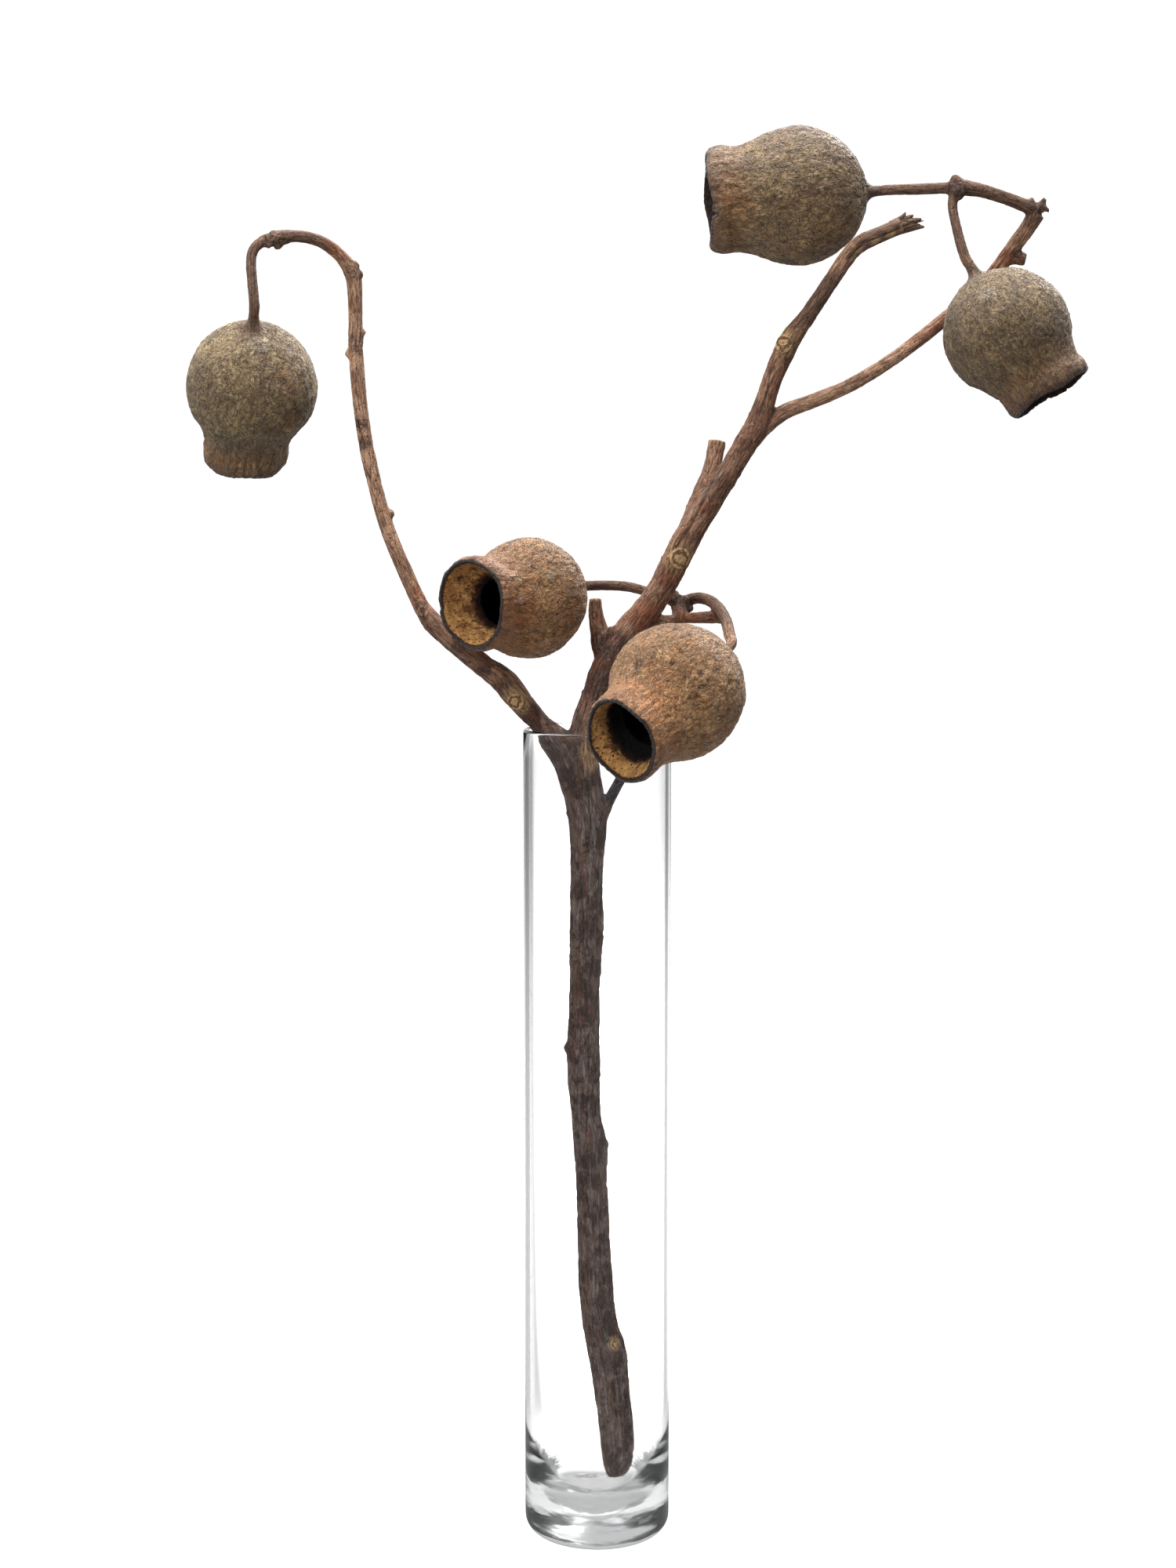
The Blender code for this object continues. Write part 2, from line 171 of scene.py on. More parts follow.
table_white, on_table = blank_material("table_white")
on_table = on_table.node("ShaderNodeTexCoord", out="Object")
seen_straight = on_table.node("ShaderNodeLightPath", out="Is Camera Ray")
seen_through = on_table.node("ShaderNodeLightPath", out="Is Transmission Ray")
aside = side_shade(on_table.vector("NORMALIZE").part("X"), 0.86, 0.82, 0.34)
well_away = on_table.vector("LENGTH", out="Value").rise(0.04, 0.12)
under_vase = 1.0 - well_away
# Painted shade: seen through the glass, the table right under the vase is partly dim.
seen_through = seen_through * (1.0 - aside * well_away - 0.45 * under_vase)
paper = on_table.node("ShaderNodeBsdfDiffuse", {}, {"Color": (0.95, 0.95, 0.95)})
glow = on_table.node("ShaderNodeEmission", {}, {"Color": (1.0, 1.0, 1.0), "Strength": 0.80})
bright = on_table.node("ShaderNodeAddShader", {}, {0: paper, 1: glow})
dim = on_table.node("ShaderNodeBsdfDiffuse", {}, {"Color": (0.22, 0.22, 0.22)})
seen = seen_straight.most(seen_through)
table_look = on_table.node("ShaderNodeMixShader", {}, {0: seen, 1: dim, 2: bright})
on_table.node("ShaderNodeOutputMaterial", {}, {"Surface": table_look})

TABLE_HALF, TABLE_TOP = 4.0, -0.0002  # metres; the top is a hair under the vase's foot
table_corners = [(x * TABLE_HALF, y * TABLE_HALF, TABLE_TOP) for x, y in ((-1, -1), (1, -1), (1, 1), (-1, 1))]
table_mesh = bpy.data.meshes.new("table")
table_mesh.from_pydata(table_corners, [], [(0, 1, 2, 3)])
table_mesh.materials.append(table_white)
table = linked("table", table_mesh)


def soft_box(name, place, aim, width, height, power):
    lamp = bpy.data.lights.new(name, "AREA")
    lamp.shape = "RECTANGLE"
    lamp.size, lamp.size_y = width, height
    lamp.energy = power
    lamp_object = linked(name, lamp)
    lamp_object.location = place
    lamp_object.rotation_euler = (Vector(aim) - Vector(place)).to_track_quat("-Z", "Y").to_euler()
    lamp_object.visible_camera = False


soft_box("overhead_box", (0.0, 0.10, 1.10), (0.0, 0.0, 0.30), 1.1, 0.9, 19.5)
soft_box("rear_box", (0.40, 0.80, 0.90), (0.0, 0.0, 0.30), 0.4, 0.4, 6.0)
soft_box("front_box", (-0.80, -1.05, 0.85), (0.0, 0.0, 0.28), 0.5, 0.5, 11.0)


# Vase: a plain cylinder of clear drawn glass, ground and fire-polished at the lip, with a thick round
# bottom inside a flat rounded foot. It is one turned shape, so its outline is spun about the middle.
def shape_tree(name, sizes, finished):
    """A geometry tree with a shape, its sizes as (name, socket kind) and a finish as its named inputs."""
    tree = bpy.data.node_groups.new(name, "GeometryNodeTree")
    for label, kind in [("Shape", "Geometry"), *sizes, ("Finish", "Material")]:
        tree.interface.new_socket(label, in_out="INPUT", socket_type="NodeSocket" + kind)
    tree.interface.new_socket(finished, in_out="OUTPUT", socket_type="NodeSocketGeometry")
    entry = tree.nodes.new("NodeGroupInput")
    return tree, [Wire(tree, entry.outputs[i]) for i in range(len(sizes) + 2)]


def finish_tree(shape, finish):
    """Ends a geometry tree: real faces, not instances, in their material."""
    real = shape.node("GeometryNodeRealizeInstances", {}, {0: shape})
    done = shape.node("GeometryNodeSetMaterial", {}, {"Geometry": real, "Material": finish})
    shape.node("NodeGroupOutput", {}, {0: done})


def turned_tree():
    """Spins the outline that comes in (radius along x, height along z) about the z axis."""
    sizes = [("Facets", "Int"), ("Wheel radius", "Float")]
    tree, (outline, facets, wheel, finish) = shape_tree("turned_glass", sizes, "Turned")
    outline_curve = outline.node("GeometryNodeMeshToCurve", {}, {"Mesh": outline})
    circle = outline.node("GeometryNodeCurvePrimitiveCircle", {}, {"Resolution": facets, "Radius": wheel})
    upright = outline.node("GeometryNodeSetCurveNormal", {"mode": "Z_UP"}, {"Curve": circle})
    spun = outline.node("GeometryNodeCurveToMesh", {}, {"Curve": upright, "Profile Curve": outline_curve})
    closed = outline.node("GeometryNodeMergeByDistance", {}, {"Geometry": spun, "Distance": 0.00001})
    finish_tree(outline.node("GeometryNodeSetShadeSmooth", {}, {0: closed}), finish)
    return tree


def plain_mesh(piece):
    """The piece's mesh as its modifiers make it, with the modifiers gone."""
    graph = bpy.context.evaluated_depsgraph_get()
    made = bpy.data.meshes.new_from_object(piece.evaluated_get(graph))
    piece.modifiers.clear()
    piece.data = made


def grow(name, mesh, tree, sizes):
    """What a geometry tree makes of a mesh, as a plain mesh in an object of its own."""
    piece = linked(name, mesh)
    modifier = piece.modifiers.new("shape", "NODES")
    modifier.node_group = tree
    for item in tree.interface.items_tree:
        if item.in_out == "INPUT" and item.name in sizes:
            modifier[item.identifier] = sizes[item.name]
    plain_mesh(piece)
    piece.data.name = name
    return piece


clear_glass, on_glass = blank_material("clear_glass")
on_glass = on_glass.node("ShaderNodeTexCoord", out="Object")
up_the_glass = on_glass.part("Z") * 1000
hand_made = up_the_glass.rise(26.0, 8.0)
waviness = on_glass.stretch(95, 95, 240).noise(1.0)
drawn_waves = waviness * hand_made
wavy = on_glass.node("ShaderNodeBump", {}, {"Strength": 0.35, "Distance": 0.0012, "Height": drawn_waves})
polish = up_the_glass.rise(48.0, 30.0) * 0.06 + hand_made * 0.10
glass = on_glass.node(
    "ShaderNodeBsdfPrincipled",
    {},
    {
        "Base Color": (1.0, 1.0, 1.0),
        "Roughness": polish,
        "IOR": 1.47,
        "Specular Tint": (0.12, 0.12, 0.12),
        "Transmission Weight": 1.0,
        "Normal": wavy,
    },
)
grey_tint = on_glass.node("ShaderNodeVolumeAbsorption", {}, {"Color": (0.30, 0.32, 0.32), "Density": 22.0})
on_glass.node("ShaderNodeOutputMaterial", {}, {"Surface": glass, "Volume": grey_tint})

VASE_RADIUS, VASE_HEIGHT, VASE_WALL = 20.0, 224.0, 1.4
VASE_FLOOR, BOWL_DEPTH, FOOT_ROUNDING, LIP_ROUNDING = 6.5, 25.0, 5.0, 0.8


def vase_outline():
    """(radius, height) in mm down the inside from its middle, over the lip and down to the foot's middle."""
    inner = VASE_RADIUS - VASE_WALL
    middle, half = VASE_RADIUS - VASE_WALL / 2, VASE_WALL / 2
    flat_foot = VASE_RADIUS - FOOT_ROUNDING
    quarter, half_turn = np.linspace(0, math.pi / 2, 25), np.linspace(0, math.pi, 13)
    bowl = [(inner * math.sin(turn), VASE_FLOOR + BOWL_DEPTH * (1 - math.cos(turn))) for turn in quarter]
    wall = [(inner, height) for height in np.linspace(40, 216, 12)]
    lip = [
        (middle - half * math.cos(turn), VASE_HEIGHT - LIP_ROUNDING + LIP_ROUNDING * math.sin(turn))
        for turn in half_turn
    ]
    side = [(VASE_RADIUS, height) for height in np.linspace(216, 14, 12)]
    foot = [
        (flat_foot + FOOT_ROUNDING * math.cos(turn), FOOT_ROUNDING * (1 - math.sin(turn)))
        for turn in quarter[::2]
    ]
    base = [(radius, 0.0) for radius in (11.0, 7.0, 3.0, 0.0)]
    return bowl + wall + lip + side + foot + base


WHEEL = 20.0
outline_points = [((radius - WHEEL) * 0.001, -height * 0.001, 0.0) for radius, height in vase_outline()]
outline_mesh = bpy.data.meshes.new("vase_outline")
outline_mesh.from_pydata(outline_points, [(i, i + 1) for i in range(len(outline_points) - 1)], [])
wheel_sizes = {"Facets": 192, "Wheel radius": WHEEL * 0.001, "Finish": clear_glass}
vase = grow("glass_vase", outline_mesh, turned_tree(), wheel_sizes)
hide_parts("vase")
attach(vase, "root")


# Branch: one forked branch of a gum tree, cut from the tree and dried with its bark on. The trunk, limbs,
# twigs and stalks grew as one, so they are swept along their routes, fused, and then get the bark's relief.
LIMBS = {  # (x, y, z, radius) in mm, from the thick end to the thin one
    "trunk": [
        (6, 1.0, 9.7, 2.2), (6.1, 1.3, 11.2, 3.3), (6.2, 1.8, 15.2, 4.3), (5.6, 3.2, 26, 4.9),
        (4.3, 4.5, 37.6, 5), (3, 4.2, 48.3, 5.4), (1, 4, 56.9, 5), (-0.3, 3.8, 68.2, 4.8),
        (-1.4, 3.2, 95.1, 4.4), (-1.9, 2.8, 108.5, 4.7), (-3.1, 2.5, 117.4, 4.2), (-3.8, 2.1, 132, 4.6),
        (-3.4, 1.5, 152.6, 4.2), (-2.9, 1, 169, 4.7), (-2.9, 0.6, 183.1, 4.4), (-2.5, 0.4, 197.1, 5.1),
        (-3.1, 0.3, 202.4, 5.3), (-4, 0, 208.5, 5.4), (-4.4, 0, 214, 5),
    ],
    "right_limb": [
        (-4.2, 0, 208, 4.2), (-3.9, 0, 217, 4.3), (-3.6, 0, 222.7, 4.1), (-0.6, 0, 231.7, 4),
        (2.8, 0, 240.8, 4.25), (8.3, 0, 249.6, 4.3), (13.3, 0, 256, 3.8), (17.5, 0, 262.3, 3.6),
        (21.3, -0.5, 269.9, 3.8), (25.4, -1, 277.6, 3.6), (35.3, -2, 293.2, 3.15),
        (39.2, -2.5, 299.9, 3.2), (42.1, -3, 304.4, 3.4), (44.3, -3.5, 310.8, 2.8),
        (46.5, -4, 317.6, 2.65), (49.3, -4.5, 324.3, 2.9), (51.3, -5, 328.2, 2.8), (55, -6, 333.2, 2.3),
        (59, -8, 339.2, 2.1), (65.8, -11.5, 349.3, 2.15), (69.1, -12.5, 352.2, 2.3),
        (73.5, -13.5, 354.1, 2.1), (79, -14, 356.4, 2.1),
    ],
    "left_limb": [
        (-4.6, 0, 205, 4.2), (-7.6, -0.3, 215.7, 4.6), (-11.6, -1, 221, 4.3), (-15, -1.7, 225.1, 2.9),
        (-18.8, -3, 229.4, 3.1), (-22.2, -3.5, 233.6, 3.4), (-25.6, -3.5, 237.6, 3.45),
        (-31.7, -3.5, 242.1, 2.95), (-42, -3.5, 250.9, 2.9), (-45.5, -3.5, 254.7, 2.5),
        (-48, -3.5, 258.9, 2.1), (-55.2, -3, 275.6, 1.95), (-59, -2, 288, 1.9), (-62.5, 0, 304.7, 1.9),
        (-64.3, 1.3, 323.4, 1.95), (-64.4, 1.5, 333.7, 1.8), (-64.6, 1.5, 341.9, 2),
        (-65.2, 1, 345.6, 2.2), (-67.5, 0, 349, 1.8), (-71.4, -1, 352.4, 1.55), (-76, -2, 354.2, 1.5),
        (-81.1, -3, 354.6, 1.55), (-85.7, -4, 353.9, 2.2),
    ],
    "right_twig": [
        (42.8, -3.2, 303.4, 2.3), (49.6, -2, 308.6, 2.1), (58, -1, 311.8, 1.9), (66.5, 0.5, 315.4, 1.8),
        (75, 2.8, 320.2, 1.75), (83.6, 5.3, 326.1, 1.75), (93.2, 9, 333.5, 1.8), (98.9, 11, 338, 1.8),
        (104.3, 12, 342.9, 1.9), (108.5, 11, 348.2, 2.0), (111.4, 10, 352.3, 2.1), (114.6, 8.5, 357, 2.15),
        (117.4, 7, 361.6, 2.3),
    ],
    "top_stalk_bearer": [
        (117.3, 7, 362.1, 1.9), (112.5, 6, 364.0, 1.7), (107.1, 5, 365.8, 1.65), (101.2, 3.8, 367.3, 1.8),
        (95.2, 2.5, 368, 2.4),
    ],
    "cut_stub": [
        (22, 0, 272, 2.6), (27.4, 2, 284.9, 2.8), (30.4, 3.5, 292.2, 2.55), (31.6, 4.5, 297.4, 2.4),
        (32.3, 5, 301.2, 2.45),
    ],
    "snapped_stub": [
        (6, 0.5, 237, 3.1), (1.9, 1, 244.9, 3.1), (0.5, 1.5, 250.4, 2.5), (-0.4, 2, 254.8, 2),
        (-0.5, 2, 258.9, 1.5),
    ],
    "low_shoot": [
        (-1.8, 0, 193.5, 2.6), (2.2, -0.5, 202.5, 1.6), (4.7, -2, 207.6, 1.4), (8.7, -3.5, 215.2, 1.2),
        (11.2, -4.2, 221.6, 1.05),
    ],
    "side_spur": [
        (14.5, 1, 252.3, 2.6), (20.8, 3, 253.1, 1.3), (26.1, 4, 253.7, 1.4), (34.9, 5.5, 253.8, 1.8),
    ],
    "centre_stalk_bearer": [
        (22.3, 3.5, 253.3, 1.9), (22.4, 6.5, 255.7, 2.2), (22.7, 9, 257.6, 3.1),
    ],
    "thorn": [
        (109.4, 10.8, 350.2, 1.9), (112.6, 10.3, 350.0, 1.7), (115.0, 10, 349.6, 1.75),
    ],
    "crotch_curl": [
        (2.2, -1, 246.5, 0.9), (2.9, -1.4, 249.6, 0.7), (3.4, -1.6, 251.2, 0.6), (4.3, -1.4, 251.4, 0.35),
    ],
}
STALKS = {  # the same for the stalk of each pod, up to where it turns along the pod's own axis
    "pod_drooping": [
        (-85.7, -4, 354.1, 1.5), (-88.9, -4.8, 352.6, 1.35), (-91, -6.2, 348.6, 1.25),
    ],
    "pod_centre_left": [
        (22.7, 9, 257.6, 1.6), (17.8, 10.5, 258.9, 1.3), (8.2, 11.5, 261.8, 1.3),
    ],
    "pod_centre_front": [
        (22.7, 9, 257.6, 1.6), (27, 9, 258.8, 1.45), (30.4, 7, 258.2, 1.5), (33.2, 3, 255.8, 1.5),
        (34.6, -3.5, 252.8, 1.5), (35, -10.5, 250, 1.5),
    ],
    "pod_top": [
        (95.6, 2.5, 367.8, 1.6), (90.1, 3, 367.6, 1.4), (83.9, 4.2, 367.5, 1.4),
    ],
    "pod_right": [
        (95, 2.5, 368, 1.35), (94, 0.8, 362.9, 1.2), (94.9, -1.3, 357, 1.2),
    ],
}
PODS = {  # the middle of each body, the ways to its mouth and out of it, and its radii and lengths in mm
    "pod_drooping": {
        "centre": (-92.4, 2.0, 315.7), "towards_mouth": (-0.1, 0.48, -0.87),
        "mouth_faces": (-0.12, 0.50, -0.86),
        "body": 17.6, "waist": 11.6, "lip": 11.6, "mouth": 10.5, "reach": 22.8, "lean": (-1.3, 0.3, 0.2),
    },
    "pod_centre_left": {
        "centre": (-18.4, -5.0, 259.5), "towards_mouth": (-0.673, -0.732, -0.11),
        "mouth_faces": (-0.66, -0.745, -0.09),
        "body": 16.0, "waist": 11.7, "lip": 12.4, "mouth": 11.8, "reach": 21.4, "lean": (-0.4, 0.0, 1.3),
    },
    "pod_centre_front": {
        "centre": (20.4, -32.0, 236.3), "towards_mouth": (-0.60, -0.64, -0.46),
        "mouth_faces": (-0.67, -0.68, -0.31),
        "body": 18.0, "waist": 12.0, "lip": 12.0, "mouth": 11.4, "reach": 24.4, "lean": (0.0, 0.0, 0.0),
    },
    "pod_top": {
        "centre": (53.6, 6.0, 365.8), "towards_mouth": (-0.995, 0.0, -0.07),
        "mouth_faces": (-0.997, 0.0, -0.07),
        "body": 18.4, "waist": 14.0, "lip": 14.3, "mouth": 12.8, "reach": 24.1, "lean": (0.0, 0.0, 0.4),
    },
    "pod_right": {
        "centre": (107.7, -8.0, 329.3), "towards_mouth": (0.47, -0.17, -0.865),
        "mouth_faces": (0.535, -0.14, -0.835),
        "body": 17.0, "waist": 12.0, "lip": 12.1, "mouth": 11.0, "reach": 20.2, "lean": (1.9, -0.6, 1.1),
    },
}
STALK_STUB = 3.4  # the flared foot of the stalk that stays on a pod
STALK_RADIUS = 1.35
KNOTS = [  # small round swellings on the bark
    (118.4, 7, 363.2, 1.6), (95, 2.6, 369.8, 1.5), (-84.2, -3.4, 352.4, 1.4), (-63.3, 1, 344.9, 1.2),
    (-62.9, 1.5, 329.6, 1.2), (-66, 1.5, 324.2, 1.3), (-55.3, -2.5, 281.7, 1.2), (-45.1, -3.5, 251.9, 1.5),
    (20.9, 8, 259.6, 1.6), (-1.8, -2.6, 169.5, 2.4), (-7.4, 2, 135.9, 1.8), (1.6, 2.6, 108.8, 1.8),
    (3.2, -0.1, 52.6, 2), (115.9, 6.2, 364.9, 0.8), (119.2, 6.6, 364.9, 0.75), (120.3, 7, 362.2, 0.7),
    (95.6, 1.4, 366.3, 1.9), (20.2, 7, 258.4, 1.4), (24.8, 8, 256.0, 1.4), (22.2, 6.0, 254.9, 1.6),
    (-86.4, -5.0, 352.3, 1.1), (-81.9, -3.4, 353.3, 0.9), (-64.4, 0.6, 347.2, 1.3),
    (8.3, -3.2, 247.0, 1.6), (1.4, -1.8, 240.8, 1.7), (-0.8, -3.0, 224.6, 1.6),
]
TORN_END = (79.2, -14.0, 356.8)
SLIVERS = [  # (along, up, out, thickness) of the torn fibres at the broken limb's end
    (0.7, 2.7, 0.2, 0.75), (2.7, 1.9, 0.3, 0.95), (4.8, 1.3, -0.1, 1.05), (5.6, -0.9, 0.1, 1.00),
    (3.6, 0.3, 0.5, 1.10), (4.6, 0.1, -0.5, 0.95), (2.2, 0.9, 0.9, 0.90), (3.4, 0.9, -0.8, 0.85),
    (1.8, 2.3, -0.3, 0.40), (5.4, 0.5, 0.3, 0.45), (4.4, -0.8, 0.7, 0.50), (2.4, -1.0, 0.6, 0.80),
]
RING_SCARS = [  # (x, y, z, reach) in mm of the raised rings left where side shoots fell
    (22.2, -4.2, 269.8, 3.0), (48.9, -7.2, 326.4, 2.6), (-21.9, -6.8, 231.6, 2.5), (5.0, -1.2, 53.3, 1.5),
    (-2.4, -4.6, 169.7, 2.2), (-63.0, -2.0, 305.7, 1.3), (-46.4, -5.6, 255.4, 1.4), (95.4, -0.2, 367.0, 1.8),
]
SPLITS = [  # routes in mm of the long splits and seams in the bark; at the fork the seam is also painted shade
    [(20.6, -4.2, 272.6), (24.0, -4.6, 277.2), (27.3, -4.5, 283.8), (30.6, -3.6, 291.3), (33.6, -3.0, 297.0)],
    [(65.4, -13.6, 348.0), (69.0, -14.9, 351.9), (73.0, -15.2, 353.2), (78.5, -15.6, 355.6)],
    [(-7.0, -4.2, 221.8), (-5.3, -4.8, 217.0), (-3.4, -5.0, 211.5), (-2.2, -5.0, 206.0), (-1.6, -4.8, 196.0)],
    [(-4.6, -3.6, 184.0), (-3.8, -3.6, 172.5)], [(-2.4, -2.6, 140.0), (-2.0, -2.4, 122.0)],
    [(1.4, -0.6, 84.0), (0.6, -0.4, 66.0)], [(40.8, -5.4, 300.5), (42.6, -5.8, 307.5), (45.4, -6.2, 315.5)],
]

for pod_name, pod in PODS.items():
    to_mouth = Vector(pod["towards_mouth"]).normalized()
    foot = Vector(pod["centre"]) - to_mouth * (pod["body"] + STALK_STUB - 0.1)
    before = foot - to_mouth * 2.5 * STALK_RADIUS
    LIMBS["stalk_" + pod_name] = [*STALKS[pod_name], (*before, 0.97 * STALK_RADIUS), (*foot, STALK_RADIUS)]


def swept_tree():
    """Sweeps a round limb along each route that comes in, as thick as its points say."""
    sizes = [("Sides", "Int"), ("Ring spacing", "Float")]
    tree, (routes, sides, spacing, finish) = shape_tree("swept_limb", sizes, "Limbs")
    curves = routes.node("GeometryNodeMeshToCurve", {}, {"Mesh": routes})
    curved = routes.node("GeometryNodeCurveSplineType", {"spline_type": "CATMULL_ROM"}, {"Curve": curves})
    even = routes.node("GeometryNodeResampleCurve", {"mode": "LENGTH"}, {"Curve": curved, "Length": spacing})
    ring = routes.node("GeometryNodeCurvePrimitiveCircle", {}, {"Resolution": sides, "Radius": 1.0})
    girth = routes.node("GeometryNodeInputNamedAttribute", {"data_type": "FLOAT"}, {"Name": "girth"})
    swept = routes.node(
        "GeometryNodeCurveToMesh",
        {},
        {"Curve": even, "Profile Curve": ring, "Scale": girth, "Fill Caps": True},
    )
    finish_tree(swept, finish)
    return tree


def route_mesh(name, routes):
    """One chain of edges for each route, with the limb's radius on its points."""
    points, edges, radii = [], [], []
    for route in routes:
        for i, (x, y, z, radius) in enumerate(route):
            if i:
                edges.append((len(points) - 1, len(points)))
            points.append((x * 0.001, y * 0.001, z * 0.001))
            radii.append(radius * 0.001)
    mesh = bpy.data.meshes.new(name)
    mesh.from_pydata(points, edges, [])
    mesh.attributes.new("girth", "FLOAT", "POINT").data.foreach_set("value", radii)
    return mesh


def smooth_points(route, spacing):
    """Close points of the smooth curve through a route's points, as rows of x, y, z and radius in mm."""
    values = np.array(route, dtype=float)
    last = len(values) - 1
    rows = []
    for i in range(last):
        before, begin, end, after = values[max(i - 1, 0)], values[i], values[i + 1], values[min(i + 2, last)]
        steps = max(1, round(float(np.linalg.norm(end[:3] - begin[:3])) / spacing))
        for t in np.arange(steps) / steps:
            rows.append(
                0.5 * (2 * begin + (end - before) * t + (2 * before - 5 * begin + 4 * end - after) * t * t
                       + (3 * begin - before - 3 * end + after) * t**3)
            )
    rows.append(values[-1])
    return np.array(rows)


def limb_table(routes, spacing):
    """Rows for close points of every limb: place, radius, length so far, way ahead, way across, limb number."""
    table = []
    for number, route in enumerate(routes):
        points = smooth_points(route, spacing)
        ahead = np.gradient(points[:, :3], axis=0)
        ahead /= np.linalg.norm(ahead, axis=1)[:, None]
        length = np.concatenate([[0], np.cumsum(np.linalg.norm(np.diff(points[:, :3], axis=0), axis=1))])
        across = np.array((0.31, 0.95, 0.1))
        for i in range(len(points)):
            across = across - ahead[i] * across.dot(ahead[i])
            across /= np.linalg.norm(across)
            table.append(np.concatenate([points[i], [length[i]], ahead[i], across, [number]]))
    return np.array(table)


def keep(mesh, name, values):
    """Stores one number, or one vector, for each point of the mesh."""
    values = np.asarray(values, dtype=np.float32)
    kind, field = ("FLOAT", "value") if values.ndim == 1 else ("FLOAT_VECTOR", "vector")
    mesh.attributes.new(name, kind, "POINT").data.foreach_set(field, values.ravel())


def places(mesh):
    """The mesh's points in mm."""
    flat = np.empty(len(mesh.vertices) * 3, dtype=np.float32)
    mesh.vertices.foreach_get("co", flat)
    return flat.reshape(-1, 3).astype(float) * 1000


TABLE_STEP = 0.8  # mm between the points that the bark is measured from
JOINT_BLEND = 1.4  # mm over which the grain fades out beside a joint
GRAIN_SHIFT = 37.0  # mm that sets each limb's grain apart from the others'
BATCH = 3000


def measure_bark(mesh, routes):
    """Where each point lies: grain (round its limb and along it, in mm), thickness, clear (0 at a joint)."""
    at = places(mesh)
    table = limb_table(routes, TABLE_STEP)
    grain, girth, clear = np.zeros((len(at), 3)), np.zeros(len(at)), np.zeros(len(at))
    numbers = table[:, 11].astype(int)
    starts = np.flatnonzero(np.r_[True, numbers[1:] != numbers[:-1]])
    for low in range(0, len(at), BATCH):
        here = slice(low, low + BATCH)
        gap = np.linalg.norm(at[here][:, None, :] - table[None, :, :3], axis=2) - table[None, :, 3]
        two = np.partition(np.minimum.reduceat(gap, starts, axis=1), 1, axis=1)
        clear[here] = np.clip((two[:, 1] - two[:, 0]) / JOINT_BLEND, 0, 1)
        row = table[gap.argmin(axis=1)]
        away = at[here] - row[:, :3]
        ahead, across = row[:, 5:8], row[:, 8:11]
        along = (away * ahead).sum(1)
        away = away - ahead * along[:, None]
        side = np.cross(ahead, across)
        turn = np.arctan2((away * side).sum(1), (away * across).sum(1))
        distance = row[:, 4] + along + GRAIN_SHIFT * row[:, 11]
        grain[here] = np.stack([np.cos(turn) * row[:, 3], np.sin(turn) * row[:, 3], distance], axis=1)
        girth[here] = row[:, 3]
    keep(mesh, "grain", grain)
    keep(mesh, "thickness", girth)
    keep(mesh, "clear", clear)


def patch_mask(at, patches):
    """1 in the middle of each (x, y, z, reach) patch, falling softly to 0 at its reach."""
    mask = np.zeros(len(at))
    for *middle, reach in patches:
        share = 1 - np.linalg.norm(at - np.array(middle), axis=1) / reach
        mask = np.maximum(mask, np.clip(share * 2.2, 0, 1))
    return mask


def scar_reach(at, scars):
    """How far each point is from the nearest scar's middle, 1 at that scar's edge, and 2 far from any."""
    away = np.full(len(at), 2.0)
    for *middle, reach in scars:
        away = np.minimum(away, np.linalg.norm(at - np.array(middle), axis=1) / reach)
    return away


def split_mask(at, routes, half_width):
    """1 along each route and 0 from half_width mm beside it."""
    mask = np.zeros(len(at))
    for route in routes:
        corners = np.array(route, dtype=float)
        for begin, end in zip(corners[:-1], corners[1:]):
            way = end - begin
            share = np.clip(((at - begin) @ way) / (way @ way), 0, 1)
            beside = np.linalg.norm((at - begin - share[:, None] * way) * (1.0, 0.45, 1.0), axis=1)
            mask = np.maximum(mask, np.clip(1.3 - beside / half_width, 0, 1))
    return mask


def reader(start, kind="FLOAT"):
    """Reads a stored number or vector by its name in a geometry tree."""
    return lambda name: start.node("GeometryNodeInputNamedAttribute", {"data_type": kind}, {"Name": name})


def raised_skin(shape, height, finish):
    """Ends a geometry tree by moving the skin out along its normals and smoothing it."""
    offset = shape.node("GeometryNodeInputNormal").scaled(height)
    moved = shape.node("GeometryNodeSetPosition", {}, {"Geometry": shape, "Offset": offset})
    finish_tree(shape.node("GeometryNodeSetShadeSmooth", {}, {0: moved}), finish)


BARK_RELIEF = {  # metres
    "Ridge height": 0.00026, "Swelling": 0.00030, "Crack depth": 0.00022, "Wart height": 0.00022,
    "Scar height": 0.00050, "Split depth": 0.00050, "Thin limbs' gain": 0.00013,
}


